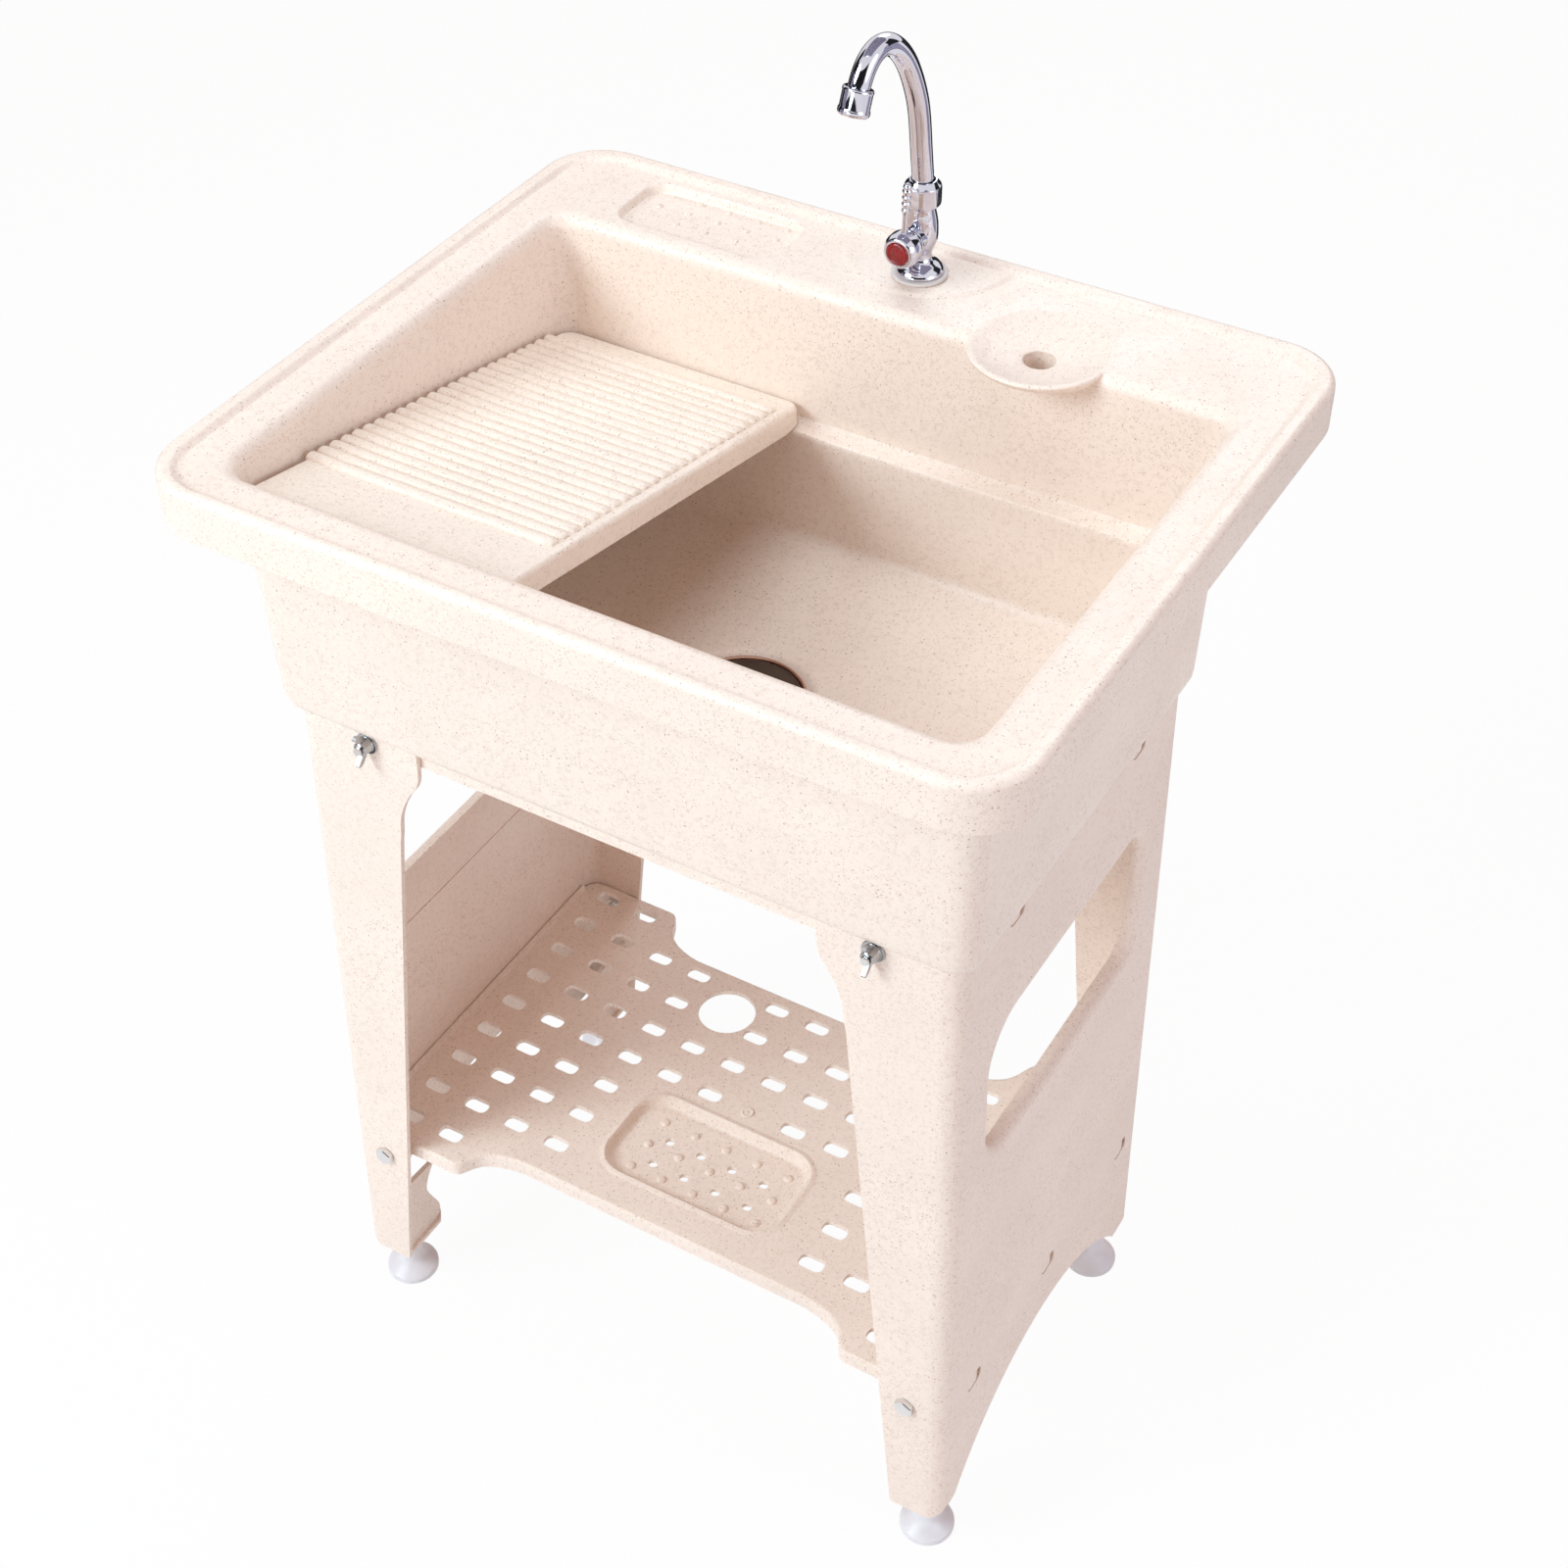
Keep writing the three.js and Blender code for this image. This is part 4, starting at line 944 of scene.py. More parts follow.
class SINK_OT_panels(bpy.types.Operator):
    """Mould the two side panels with their windows, arches and foot plates"""
    bl_idname = "sink.panels"
    bl_label = "Side panels"

    def execute(self, context):
        shapes = context.scene.sink_shapes
        right = panel_moulding("right_panel_moulding", shapes.corner_steps)
        soften(right, 0.9 * shapes.edge)
        left = mirrored(right, "left_panel_moulding")
        for side, piece in (("right", right), ("left", left)):
            finish(piece, "stand_plastic", "sink", f"{side}_side_panel")
        return {"FINISHED"}


# ---- shelf ----------------------------------------------------------------
SHELF_HALF = 256.8
EAR_FRONT, EAR_BACK, EAR_RADIUS = -180.5, 139.6, 13
RECESS, RECESS_RADII = (-79, 73, -121, -40), (22,) * 4
RECESS_FLOOR, SHELF_TOP = 178, 185
PIPE_HOLE = (-73, 63.5, 23.6)
SLOT_PITCH = (38.2, 35.2)
SWING = ((124, 0), (132, 0.03), (140, 0.09), (147, 0.165), (152, 0.24), (156.5, 0.33), (160, 0.44),
         (162.8, 0.57), (165, 0.71), (166.8, 0.83), (169, 0.93), (171.5, 0.985), (175, 1))


def shelf_outline(inset, steps=6):
    """The shelf with its four ears; SWING leads its edges out to them, as (x, share of the way)."""
    right_x, radius = SHELF_HALF - inset, EAR_RADIUS - inset

    def swing(edge, ear):
        return [(x + inset, edge + (ear - edge) * share) for x, share in SWING]

    def corner(y, first):
        turns = (math.radians(first + 90 * step / steps) for step in range(steps + 1))
        return [(right_x - radius + radius * math.cos(turn), y + radius * math.sin(turn)) for turn in turns]

    right = [
        *swing(-153 + inset, EAR_FRONT + inset), *corner(EAR_FRONT + EAR_RADIUS, 270),
        *corner(EAR_BACK - EAR_RADIUS, 0), *reversed(swing(102 - inset, EAR_BACK - inset))]
    return right + [(-x, y) for x, y in reversed(right)]


def slot_places():
    """Places of the drain slots: columns to each side of the middle one, in nine rows from the front."""
    outside = (3, 4, 5, 6)
    inside = (0, 1, 2, *outside)
    rows = ((5, 6), outside, outside, outside, (1, 2, *outside), inside, inside, inside, (5, 6))
    places = []
    for row, columns in enumerate(rows):
        for column in columns:
            for side in ((-1, 1) if column else (1,)):
                if not (column == 2 and side < 0 and row > 5):
                    places.append((
                        side * column * SLOT_PITCH[0] - 0.5, -161 + SLOT_PITCH[1] * row + 0.8 * column,
                        RECESS_FLOOR))
    return places


class SINK_OT_shelf(bpy.types.Operator):
    """Mould the slotted shelf with its recess and lips"""
    bl_idname = "sink.shelf"
    bl_label = "Shelf"

    def execute(self, context):
        shapes = context.scene.sink_shapes

        def recess(grow):
            return grown_outline(RECESS, RECESS_RADII, grow, shapes.corner_steps)

        shelf = loft("shelf_moulding", layers(shelf_outline, (
            (0, 172), (0, 182.6), (0.35, 183.8), (1.2, 184.65), (2.4, SHELF_TOP))))
        hollow = loft("shelf_under", layers(shelf_outline, ((WALL, 171), (WALL, 181))))
        combine(shelf, [hollow, block("back_lip_cut", -150, 150, 80, 110, 170, 179.2)], "DIFFERENCE")
        combine(shelf, shelf_additions(recess), "UNION")
        combine(shelf, shelf_cuts(shapes, recess), "DIFFERENCE")
        soften(shelf, 0.75 * shapes.edge)
        places = [(28 * column, y, RECESS_FLOOR) for y in (-58, -83, -108) for column in range(-2, 3)]
        dots = repeated("shelf_dots", dome("shelf_dot", 3.9, 2.2), places)
        pip = turned("gate_mark", [
            (0, 184), (5.4, 184), (5.2, 185.7), (4.6, 186.2), (3.7, 185.9), (3.0, 185.2), (1.5, 185.2),
            (0.8, 186.0), (0, 186.2)], (-2.5, -21.5, 0), 28)
        for piece in (dots, pip):
            piece.data.shade_smooth()
        finish(merged("shelf_moulding", [shelf, dots, pip]), "stand_plastic", "sink", "shelf")
        return {"FINISHED"}


def shelf_additions(recess):
    """The recess pan and its bead, side lips and bolt bosses."""
    pan = loft("recess_pan", layers(recess, ((3, 174), (3, 182))))
    bead = loft("recess_bead", layers(recess, (
        (8, 184), (7.4, 185.0), (5.8, 185.7), (4.0, 186.3), (2.4, 186.6), (0, 186.6))))
    lips = []
    bosses = []
    for side in (-1, 1):
        outer, inner = side * SHELF_HALF, side * 253.9
        lips.append(prism_y("side_lip", [
            (outer, 184), (outer, 188.6), (outer - side * 0.6, 189.4), (inner + side * 0.5, 189.4),
            (inner, 188.6), (inner - side * 1.2, 184)], -172, 125))
        left, right = sorted((side * 219, side * 241))
        for front, back in ((-186.6, -176.5), (135.6, 139.6)):
            bosses.append(block("bolt_boss", left, right, front, back, 163, 184))
    return [pan, bead, *lips, *bosses]


def shelf_cuts(shapes, recess):
    half_x, half_y = shapes.slot_length / MM / 2, shapes.slot_width / MM / 2
    pattern = prism_z(
        "slot_cutter", rounded_outline(-half_x, half_x, -half_y, half_y, (half_y * 0.8,) * 4, 5), 0, 12)
    slots = repeated("shelf_slots", pattern, slot_places())
    drains = [
        prism_z("recess_slot", slot_outline(x, y, 8, 7), 170, 180)
        for y in (-72.5, -97.5) for x in (-42.5, -14, 14, 42.5)]
    hole = prism_z("pipe_hole", circle_outline(*PIPE_HOLE, 64), 170, 190)
    hollow = loft("recess_cut", layers(recess, (
        (-5.5, RECESS_FLOOR), (-3.4, 178.5), (-1.9, 179.7), (-0.8, 181.6), (0, 183.6), (1, 185.4),
        (2.2, 186.4), (3, 187))))
    bolts = [bolt_hole(side * SHELF_BOLT[0], SHELF_BOLT[1]) for side in (-1, 1)]
    return [slots, *drains, hole, hollow, *bolts]


# ---- feet -----------------------------------------------------------------
class SINK_OT_feet(bpy.types.Operator):
    """Turn the four levelling feet"""
    bl_idname = "sink.feet"
    bl_label = "Feet"

    def execute(self, context):
        profile = [
            (0, 0), (20, 0), (20.8, 0.4), (21, 1.2), (21, 4), (20.6, 5.2), (19.6, 6.0), (17, 7.6),
            (13.6, 10.2), (11.2, 12.6), (10.2, 14.4), (9.6, 16.4), (9.3, 20), (9.0, 35), (8.6, 36.4),
            (7.6, 37), (4.3, 37), (4.3, 20), (0, 20)]
        for end in ENDS:
            place = (STUD_X if end.endswith("right") else -STUD_X, STUD_Y[end.startswith("back")], 0)
            foot = turned(f"foot_{end}_moulding", profile, place, 64)
            finish(soften(foot, 0, tidy=False), "foot_plastic", f"foot_{end}", f"foot_pad_{end}")
        return {"FINISHED"}


# ---- fasteners ------------------------------------------------------------
# How far the washers and heads stand off the panels.
SEAT_GAP = 0.3


def wing_nut():
    """A wing nut on its washer, seated on the plane y 0 and facing the front; bored for its bolt."""
    hub = turned("nut_hub", [
        (3.3, 0), (8.2, 0), (8.2, 1.0), (7.9, 1.4), (6.3, 1.5), (6.0, 1.9), (5.5, 5), (4.9, 8.4), (4.3, 9),
        (3.3, 9)], (0, 0, 0), 40, axis="Y")
    half = [
        (-1.6, 0), (-1.6, 5.0), (-3.2, 6.6), (-7.2, 11.0), (-9.4, 12.6), (-11.4, 12.8), (-12.8, 11.8),
        (-13, 10.4), (-11.4, 8.6), (-8.4, 5.6), (-7.6, 4.0), (-7.6, 0)]
    wings = [prism_x("nut_wing", [(y, side * z) for y, z in half], -1.5, 1.5) for side in (-1, 1)]
    bore = prism_y("nut_bore", circle_outline(0, 0, 3.3, 20), -12, 2)
    combine(hub, wings, "UNION")
    combine(hub, [bore], "DIFFERENCE")
    return soften(hub, 0.5, angle=28)


def shelf_bolt():
    """A hex bolt, its head's seat on the plane y 0, shank running back."""
    bolt = loft("shelf_bolt_piece", [
        [(x, y, z) for x, z in circle_outline(0, 0, radius, 6)]
        for radius, y in ((7.5, 0), (7.9, -0.4), (7.9, -3.7), (7.1, -4.4))])
    shank = turned("bolt_shank", [(0, 1), (3, 1), (3, -22), (2.4, -23), (0, -23)], (0, 0, 0), 24, axis="Y")
    combine(bolt, [shank], "UNION")
    return soften(bolt, 0.3, angle=28)


class SINK_OT_fasteners(bpy.types.Operator):
    """Place the wing nuts and shelf bolts"""
    bl_idname = "sink.fasteners"
    bl_label = "Fasteners"

    def execute(self, context):
        for node, pattern, (x, z), seat_z, look in (
            ("wing_nut", wing_nut(), APRON_BOLT, 611, "nut_steel"),
            ("shelf_bolt", shelf_bolt(), SHELF_BOLT, 166, "steel"),
        ):
            seats = (stand_at(seat_z)[1] - SEAT_GAP, STAND_BACK + SEAT_GAP)
            places = [(side * x, y, z) for y in seats for side in (-1, 1)]
            piece = repeated(f"{node}s_set", pattern, places, (0, 0, 180, 180))
            finish(piece, "steel", "sink", *(f"{node}_{end}" for end in ENDS), look=look)
        return {"FINISHED"}


# ---- tap ------------------------------------------------------------------
TAP_AXIS, VALVE = (*TAP, 0), (*TAP, VALVE_Z)
FLUTES = 36
NECK_ANGLE = math.radians(-10)
# The neck's middle line as (forward of the tap, height).
NECK_PATH = (
    (0, 879), (0.2, 893), (2, 905), (4.5, 924), (7.5, 947), (13, 964), (20, 980), (29, 993.5), (41, 1003.5),
    (53, 1004.5), (62, 999), (67.5, 991), (70.5, 984), (72, 979.5))


def neck_point(forward, z):
    """A point in the plane of the neck, which is turned a little from the tap's front."""
    return Vector((TAP[0] + forward * math.sin(NECK_ANGLE), TAP[1] - forward * math.cos(NECK_ANGLE), z))


def curve_points(places, per_span):
    """Points along a smooth curve through the given places."""
    points = [Vector(place) for place in places]
    padded = [points[0] * 2 - points[1], *points, points[-1] * 2 - points[-2]]
    path = []
    for first, second, third, fourth in zip(padded, padded[1:], padded[2:], padded[3:]):
        for step in range(per_span):
            t = step / per_span
            path.append(0.5 * (
                second * 2 + (third - first) * t + (first * 2 - second * 5 + third * 4 - fourth) * t ** 2
                + (second * 3 - first - third * 3 + fourth) * t ** 3))
    return [*path, points[-1]]


def smoothed(path, rounds):
    """The path with each inner point drawn towards its neighbours, several times over."""
    for _ in range(rounds):
        inner = [(a + b * 2 + c) / 4 for a, b, c in zip(path, path[1:], path[2:])]
        path = [path[0], *inner, path[-1]]
    return path


def neck_tube(name, outer, inner, sides=40):
    """A tube along the neck, with its outer and inner radius."""
    path = smoothed(curve_points([neck_point(*pair) for pair in NECK_PATH], 6), 14)
    across = Vector((math.cos(NECK_ANGLE), math.sin(NECK_ANGLE), 0))
    rows = []
    for index, centre in enumerate(path):
        before, after = path[max(index - 1, 0)], path[min(index + 1, len(path) - 1)]
        rows.append((centre, (after - before).normalized().cross(across).normalized()))
    rings = []
    for radius, order in ((outer, rows), (inner, reversed(rows))):
        for centre, up in order:
            turns = (math.tau * side / sides for side in range(sides))
            rings.append([
                centre + radius * (across * math.cos(turn) + up * math.sin(turn)) for turn in turns])
    return soften(loft(name, rings, looped=True), 0, tidy=False)


def place_on_neck(piece):
    """Moves a piece made about the origin, looking down, to the end of the neck."""
    end, before = neck_point(*NECK_PATH[-1]), neck_point(*NECK_PATH[-2])
    turn = Vector((0, 0, -1)).rotation_difference((end - before).normalized())
    piece.data.transform(Matrix.Translation(end * MM) @ turn.to_matrix().to_4x4())
    return piece


def aerator():
    """The outlet nozzle with its fluted grip, made about the origin."""
    grip = turned("aerator_piece", [
        (8.1, 5.5), (9.4, 5.5), (9.9, 5.1), (10.3, 4.2), (10.3, 3.2), (10.0, 2.8), (10.0, -7.4),
        (10.5, -8.0), (10.6, -9.0), (10.5, -10.4), (10.0, -11.4), (9.2, -12), (7.2, -12), (6.6, -11.4),
        (6.4, -10), (6.4, -0.5), (8.1, -0.5)], (0, 0, 0), 72)
    flute = prism_z("flute", circle_outline(10.45, 0, 0.35, 8), -7.0, 2.4)
    turns = [360 / FLUTES * (index + 0.5) for index in range(FLUTES)]
    combine(grip, [repeated("flutes", flute, [(0, 0, 0)] * FLUTES, turns)], "DIFFERENCE")
    return soften(grip, 0)


def tap_lever():
    """The handle: its hub round the spindle and the upright lever with ringed grip."""
    x, y = TAP
    hub = turned("tap_handle_piece", [
        (4.3, 0), (10.6, 0), (11.6, 0.5), (12.3, 1.6), (12.6, 3), (12.6, 8.4), (12.2, 10), (11.0, 12.4),
        (10.2, 13.4), (9.2, 13.9), (8.5, 13.9), (8.3, 13.4), (8.3, 12), (0, 12), (0, 8), (4.3, 8)],
        (x, y - 20, VALVE_Z), 64, axis="Y")
    rings = []
    for up, half_x, half_y in (
            (8, 2.6, 3.0), (12, 1.9, 2.2), (16, 1.7, 1.9), (20, 1.7, 1.8), (24, 1.8, 1.9), (27, 2.1, 2.1),
            (28.4, 2.9, 2.8), (29.6, 3.0, 2.9), (30.8, 2.3, 2.2), (32.2, 2.3, 2.2), (33.2, 3.1, 3.0),
            (34.4, 3.1, 3.0), (35.4, 2.4, 2.3), (36.8, 2.4, 2.3), (37.8, 3.2, 3.0), (39, 3.2, 3.0),
            (40, 2.5, 2.4), (41.4, 2.6, 2.5), (42.4, 3.3, 3.1), (43.6, 3.3, 3.1), (44.6, 2.6, 2.5),
            (46, 3.1, 2.9), (47.6, 2.6, 2.4), (48.6, 1.6, 1.5), (49, 0.6, 0.6)):
        turns = (math.tau * side / 24 for side in range(24))
        rings.append([
            (x + up * 0.04 + half_x * math.cos(turn), y - 26 + half_y * math.sin(turn), VALVE_Z + up)
            for turn in turns])
    combine(hub, [loft("lever", rings)], "UNION")
    return soften(hub, 0.4, angle=40)


def tap_vase():
    """The tap's body: a vase with the valve barrel towards the front."""
    vase = turned("tap_body_piece", [
        (0, 825.9), (16.2, 825.9), (16.7, 826.4), (16.7, 827.2), (16.2, 828.4), (14.8, 830.4), (12.4, 832.4),
        (10.2, 833.8), (8.8, 835.2), (8.0, 837), (7.7, 839), (8.0, 841), (9.0, 844), (10.2, 847), (11.1, 850),
        (11.5, 853.5), (11.4, 858), (11.2, 862), (10.6, 866), (9.7, 870), (9.1, 873), (9.0, 878), (0, 878)],
        TAP_AXIS, 72)
    barrel = turned("valve_barrel", [
        (0, 0), (9.2, 0), (8.9, 6), (8.6, 10), (8.6, 14.4), (8.2, 15), (0, 15)], VALVE, 56, axis="Y")
    combine(vase, [barrel], "UNION")
    bore = turned("body_bore", [(0, 820), (6.5, 820), (6.5, 837.9), (0, 837.9)], TAP_AXIS, 40)
    seat = turned("neck_seat", [(0, 870), (5.6, 870), (5.6, 880), (0, 880)], TAP_AXIS, 40)
    spindle = turned("spindle_bore", [(0, 6), (4, 6), (4, 20), (0, 20)], VALVE, 32, axis="Y")
    combine(vase, [bore, seat, spindle], "DIFFERENCE")
    return soften(vase, 0.7, segments=3, angle=28)


def coupling_nut():
    nut = turned("coupling_nut_piece", [
        (9.6, 876), (11.6, 876), (12.5, 877), (12.7, 878.4), (12.7, 888.6), (12.2, 890.2), (10.8, 891.6),
        (9.8, 893.2), (9.2, 894), (8.4, 894), (8.4, 881.4), (9.6, 881.4)], TAP_AXIS, 64)
    flats = prism_z("nut_flats", circle_outline(*TAP, 13.2, 8), 870, 900)
    combine(nut, [flats], "INTERSECT")
    return soften(nut, 0.4, angle=24)


def index_button():
    button = turned("index_button_piece", [
        (0, 32.3), (7.9, 32.3), (8.1, 32.8), (8.1, 34.0), (7.7, 34.7), (6.8, 35.1), (6.4, 35.0), (6.0, 34.75),
        (5.4, 34.7), (0, 35.2)], VALVE, axis="Y")
    return soften(button, 0, tidy=False)


class SINK_OT_tap(bpy.types.Operator):
    """Make the gooseneck tap: washer, body, neck, nozzle and lever"""
    bl_idname = "sink.tap"
    bl_label = "Tap"

    def execute(self, context):
        washer = turned("base_washer_piece", [
            (11, 823.3), (19.2, 823.3), (19.6, 823.7), (19.6, 824.8), (19.2, 825.4), (18.4, 825.6),
            (11, 825.6)], TAP_AXIS, 72)
        bonnet = turned("bonnet_nut_piece", [
            (4.3, 15.3), (9.9, 15.3), (10.5, 15.9), (10.5, 18.6), (9.9, 19.2), (4.3, 19.2)], VALVE, axis="Y")
        for piece, slot, body, node in (
            (soften(washer, 0, tidy=False), "fitting_plastic", "sink", "tap_base_washer"),
            (tap_vase(), "tap_chrome", "sink", "tap_body"),
            (coupling_nut(), "tap_chrome", "sink", "tap_coupling_nut"),
            (soften(bonnet, 0, tidy=False), "tap_chrome", "sink", "tap_bonnet_nut"),
            (neck_tube("spout_piece", 7.4, 5.8), "tap_chrome", "spout", "tap_spout"),
            (place_on_neck(aerator()), "tap_chrome", "spout", "tap_aerator"),
            (tap_lever(), "tap_chrome", "handle", "tap_handle"),
            (index_button(), "button_red", "handle", "tap_index_button"),
        ):
            finish(piece, slot, body, node)
        return {"FINISHED"}


# ---- drain ----------------------------------------------------------------
class SINK_OT_drain(bpy.types.Operator):
    """Make the waste flange and its strainer basket"""
    bl_idname = "sink.drain"
    bl_label = "Drain"

    def execute(self, context):
        centre = (*DRAIN, 0)
        flange = turned("flange_piece", [
            (23.5, 545), (26.4, 545), (26.4, 605.3), (41.5, 605.3), (42.8, 606), (43, 606.8), (42.9, 607.9),
            (42.3, 608.7), (41.5, 609), (40.8, 608.7), (40.4, 608), (40.2, 606.8), (39.4, 606.3), (30, 606.2),
            (26, 606.1), (24.2, 605.6), (23.5, 604.8)], centre, 96)
        finish(soften(flange, 0, tidy=False), "flange_metal", "sink", "drain_flange")
        basket = turned("strainer_piece", [
            (0, 580), (17.4, 580), (20, 581.2), (22.2, 584), (22.7, 588), (22.8, 605.2), (23.6, 606.4),
            (24.6, 606.6), (38.6, 606.7), (39.2, 607.1), (39.2, 607.8), (38.6, 608.3), (37.6, 608.2),
            (36.4, 607.7), (25, 607.3), (22.6, 606.6), (21.5, 604), (21.2, 588), (20.4, 584.6), (17.5, 581.6),
            (0, 581.5)], centre, 72)
        holes = [
            prism_z("strainer_hole", circle_outline(
                DRAIN[0] + ring * math.cos(turn), DRAIN[1] + ring * math.sin(turn), 1.5, 10), 578, 583)
            for ring, count in ((6, 6), (11.5, 12))
            for turn in (math.tau * index / count for index in range(count))]
        combine(basket, [merged("strainer_holes", holes)], "DIFFERENCE")
        finish(soften(basket, 0), "strainer_steel", "strainer", "strainer_basket")
        return {"FINISHED"}


# ---- stage ----------------------------------------------------------------
FLOOR_WHITE = 0.95
SKY_TINT = (1.0, 0.52, 0.38, 1)
COOL, COOLER, COOLEST = (0.76, 0.93, 1.0), (0.73, 0.91, 1.0), (0.68, 0.86, 1.0)
LAMP_TARGET = Vector((0, 0, 0.5))
BLACK_CARD, GREY_CARD = (0.012, 0.012, 0.014), (0.42, 0.41, 0.52)
FLOOR_HALF = 6
CAMERA_PLACE = (0.689, -1.147, 1.703)
SENSOR_WIDTH = 36


def seen_share(tree, share):
    """A factor: 'share' for what is seen straight, in gloss or through glass, and 0 for what gives light."""
    rays = add_node(tree, "ShaderNodeLightPath").outputs
    seen = rays["Is Camera Ray"]
    for ray in ("Is Glossy Ray", "Is Transmission Ray"):
        seen = add_node(tree, "ShaderNodeMath", {0: seen, 1: rays[ray]}, operation="MAXIMUM").outputs[0]
    return add_node(tree, "ShaderNodeMath", {0: seen, 1: share}, operation="MULTIPLY").outputs[0]


def light_and_show(owner, kind, lit, shown, share):
    """Gives a world or material one shader for its light and mixes in another where it is seen."""
    owner.use_nodes = True
    tree = owner.node_tree
    tree.nodes.clear()
    first, second = (add_node(tree, *shader).outputs[0] for shader in (lit, shown))
    blend = add_node(tree, "ShaderNodeMixShader", {"Fac": seen_share(tree, share), 1: first, 2: second})
    add_node(tree, kind, {"Surface": blend.outputs["Shader"]})
    return owner


def floor_material(colour):
    """A pale floor that shows almost white but keeps the sink's shadow."""
    return light_and_show(
        bpy.data.materials.new("studio_floor"), "ShaderNodeOutputMaterial",
        ("ShaderNodeBsdfDiffuse", {"Color": (*colour, 1)}), ("ShaderNodeEmission",), FLOOR_WHITE)


def sky(strength):
    """Even light with a warm tint, which shows white."""
    return light_and_show(
        bpy.data.worlds.new("studio_sky"), "ShaderNodeOutputWorld",
        ("ShaderNodeBackground", {"Color": SKY_TINT, "Strength": strength}),
        ("ShaderNodeBackground", {"Color": (1, 1, 1, 1)}), 1.0)


def lamp(name, place, size, power, colour):
    """A round lamp that looks at the middle of the sink."""
    data = bpy.data.lights.new(name, "AREA")
    data.shape = "DISK"
    data.size = size
    data.energy = power
    data.color = colour
    light = new_object(name, data)
    light.location = place
    light.rotation_euler = (LAMP_TARGET - Vector(place)).to_track_quat("-Z", "Y").to_euler()


def card(name, points, faces, tone):
    """A card seen only in gloss, which draws the dark and grey bands in chrome."""
    mesh = bpy.data.meshes.new(name)
    mesh.from_pydata(points, [], faces)
    material = bpy.data.materials.new(name)
    material.use_nodes = True
    shader = material.node_tree.nodes["Principled BSDF"]
    shader.inputs["Base Color"].default_value = (*tone, 1)
    shader.inputs["Roughness"].default_value = 1.0
    mesh.materials.append(material)
    piece = new_object(name, mesh)
    piece.visible_camera = False
    piece.visible_diffuse = False
    piece.visible_shadow = False
    piece.visible_transmission = False


def curved_card(name, radius, start, end, low, high, tone, steps=12):
    """A card bent round the tap between two angles and two heights."""
    points = []
    for step in range(steps + 1):
        turn = math.radians(start + (end - start) * step / steps)
        x, y = TAP[0] * MM + radius * math.cos(turn), TAP[1] * MM + radius * math.sin(turn)
        points += [(x, y, low), (x, y, high)]
    card(name, points, [(2 * step, 2 * step + 2, 2 * step + 3, 2 * step + 1) for step in range(steps)], tone)


def flat_card(name, x0, x1, y0, y1, z, tone):
    card(name, [(x0, y0, z), (x1, y0, z), (x1, y1, z), (x0, y1, z)], [(0, 1, 2, 3)], tone)


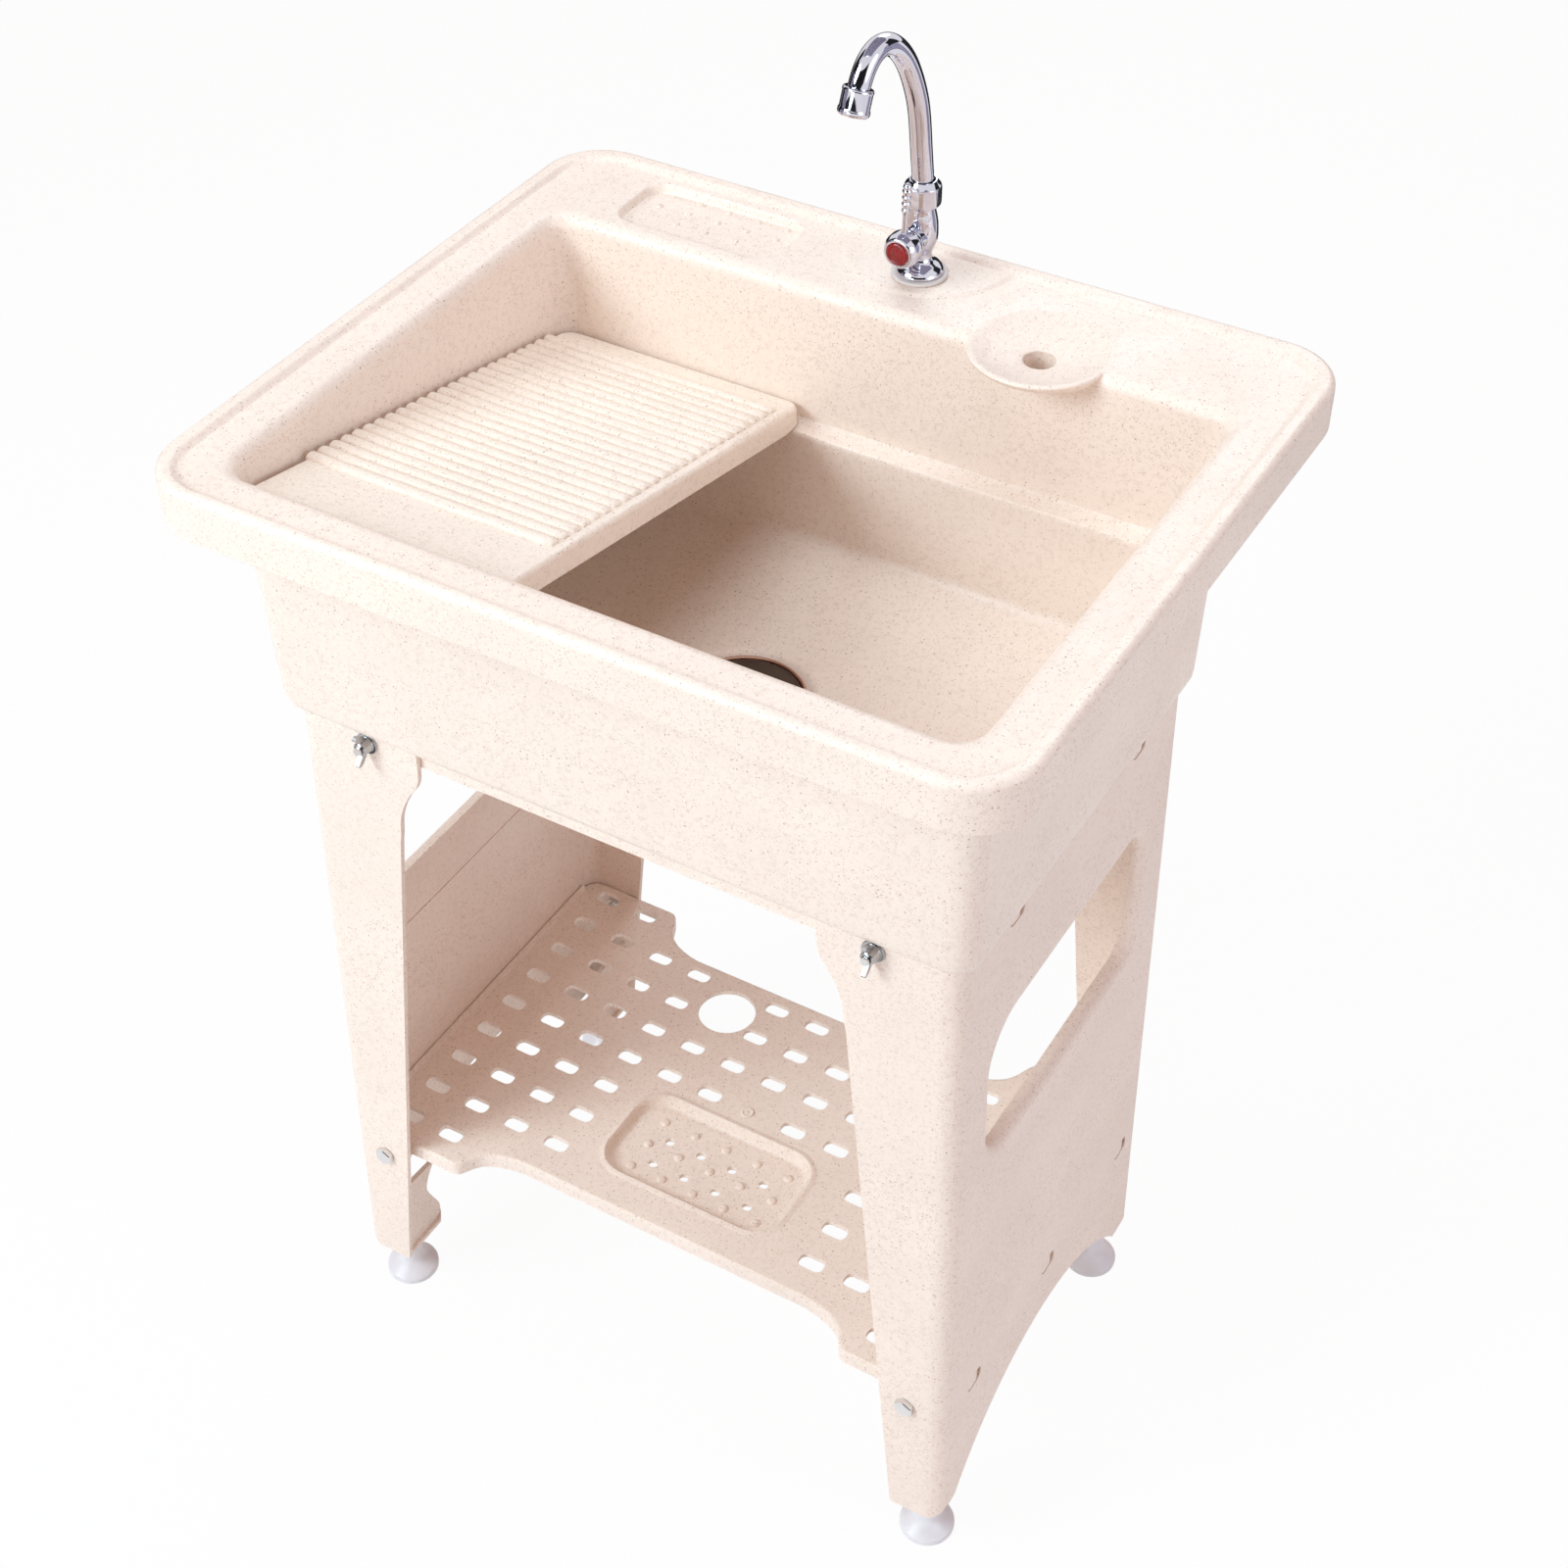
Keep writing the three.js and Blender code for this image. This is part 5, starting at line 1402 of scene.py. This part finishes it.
class SINK_OT_stage(bpy.types.Operator):
    """Set up the floor, sky, lamps and camera"""
    bl_idname = "sink.stage"
    bl_label = "Studio"

    def execute(self, context):
        stage = context.scene.sink_stage
        context.scene.view_settings.view_transform = "Standard"
        context.scene.world = sky(stage.sky)
        mesh = bpy.data.meshes.new("studio_floor")
        corners = [(FLOOR_HALF * x, FLOOR_HALF * y, 0) for x, y in ((-1, -1), (1, -1), (1, 1), (-1, 1))]
        mesh.from_pydata(corners, [], [(0, 1, 2, 3)])
        mesh.materials.append(floor_material(tuple(stage.floor)))
        floor = new_object("studio_floor", mesh)
        lamp("key", (-1.6, -2.4, 2.5), 1.6, stage.key, COOL)
        lamp("front", (-0.5, -3.0, 1.1), 1.2, stage.front, COOL)
        lamp("fill", (2.8, -0.3, 1.5), 1.6, stage.fill, COOLEST)
        lamp("top", (0, -0.2, 3.4), 2.0, stage.top, COOLER)
        lamp("rear", (-0.6, 2.6, 2.8), 1.6, stage.rear, COOL)
        curved_card("card_behind", 1.0, 62, 172, 0.05, 1.02, BLACK_CARD)
        curved_card("card_right", 1.1, 20, 50, 0.3, 1.3, GREY_CARD)
        curved_card("card_left", 1.1, 174, 198, 0.3, 1.3, BLACK_CARD)
        curved_card("card_far_left", 1.1, 200, 226, 0.3, 1.3, GREY_CARD)
        curved_card("card_streak_left", 0.9, 176, 204, 0.95, 1.9, BLACK_CARD)
        curved_card("card_streak_right", 0.9, 30, 60, 1.02, 1.7, BLACK_CARD)
        flat_card("card_over", -0.9, 0.9, -0.5, 1.2, 2.2, GREY_CARD)
        curved_card("card_front", 4.2, 195, 325, 1.3, 3.6, BLACK_CARD)
        flat_card("card_low_left", -0.62, -0.3, -1.3, -0.5, 0.02, BLACK_CARD)
        flat_card("card_low_right", 0.0, 0.24, -1.3, -0.5, 0.02, BLACK_CARD)
        data = bpy.data.cameras.new("camera")
        data.lens = stage.lens
        data.sensor_width = SENSOR_WIDTH
        camera = new_object("camera", data)
        back = Vector((
            math.sin(stage.azimuth) * math.cos(stage.elevation),
            -math.cos(stage.azimuth) * math.cos(stage.elevation),
            math.sin(stage.elevation)))
        camera.location = CAMERA_PLACE
        camera.rotation_euler = back.to_track_quat("Z", "Y").to_euler()
        context.scene.camera = camera
        return {"FINISHED"}


# ---- add-on ---------------------------------------------------------------
class SINK_PT_panel(bpy.types.Panel):
    """Lists the steps that make the sink"""
    bl_idname = "SINK_PT_panel"
    bl_label = "Laundry sink"
    bl_space_type = "VIEW_3D"
    bl_region_type = "UI"
    bl_category = "Sink"

    def draw(self, context):
        column = self.layout.column(align=True)
        for step in STEPS:
            column.operator(step.bl_idname)
        for group in (context.scene.sink_finish, context.scene.sink_shapes, context.scene.sink_stage):
            box = self.layout.box()
            for key in group.__annotations__:
                box.prop(group, key)


STEPS = (SINK_OT_stage, SINK_OT_materials, SINK_OT_basin, SINK_OT_washboard, SINK_OT_panels, SINK_OT_shelf,
         SINK_OT_feet, SINK_OT_fasteners, SINK_OT_tap, SINK_OT_drain)
GROUPS = (("sink_finish", SinkFinish), ("sink_shapes", SinkShapes), ("sink_stage", SinkStage))


def register():
    for name, group in GROUPS:
        bpy.utils.register_class(group)
        setattr(bpy.types.Scene, name, bpy.props.PointerProperty(type=group))
    for step in (*STEPS, SINK_PT_panel):
        bpy.utils.register_class(step)


def unregister():
    for step in (*STEPS, SINK_PT_panel):
        bpy.utils.unregister_class(step)
    for name, group in GROUPS:
        delattr(bpy.types.Scene, name)
        bpy.utils.unregister_class(group)


def main():
    register()
    bpy.ops.sink.stage()
    bpy.ops.sink.materials()
    bpy.ops.sink.basin()
    bpy.ops.sink.washboard()
    bpy.ops.sink.panels()
    bpy.ops.sink.shelf()
    bpy.ops.sink.feet()
    bpy.ops.sink.fasteners()
    bpy.ops.sink.tap()
    bpy.ops.sink.drain()


if __name__ == "__main__":
    main()
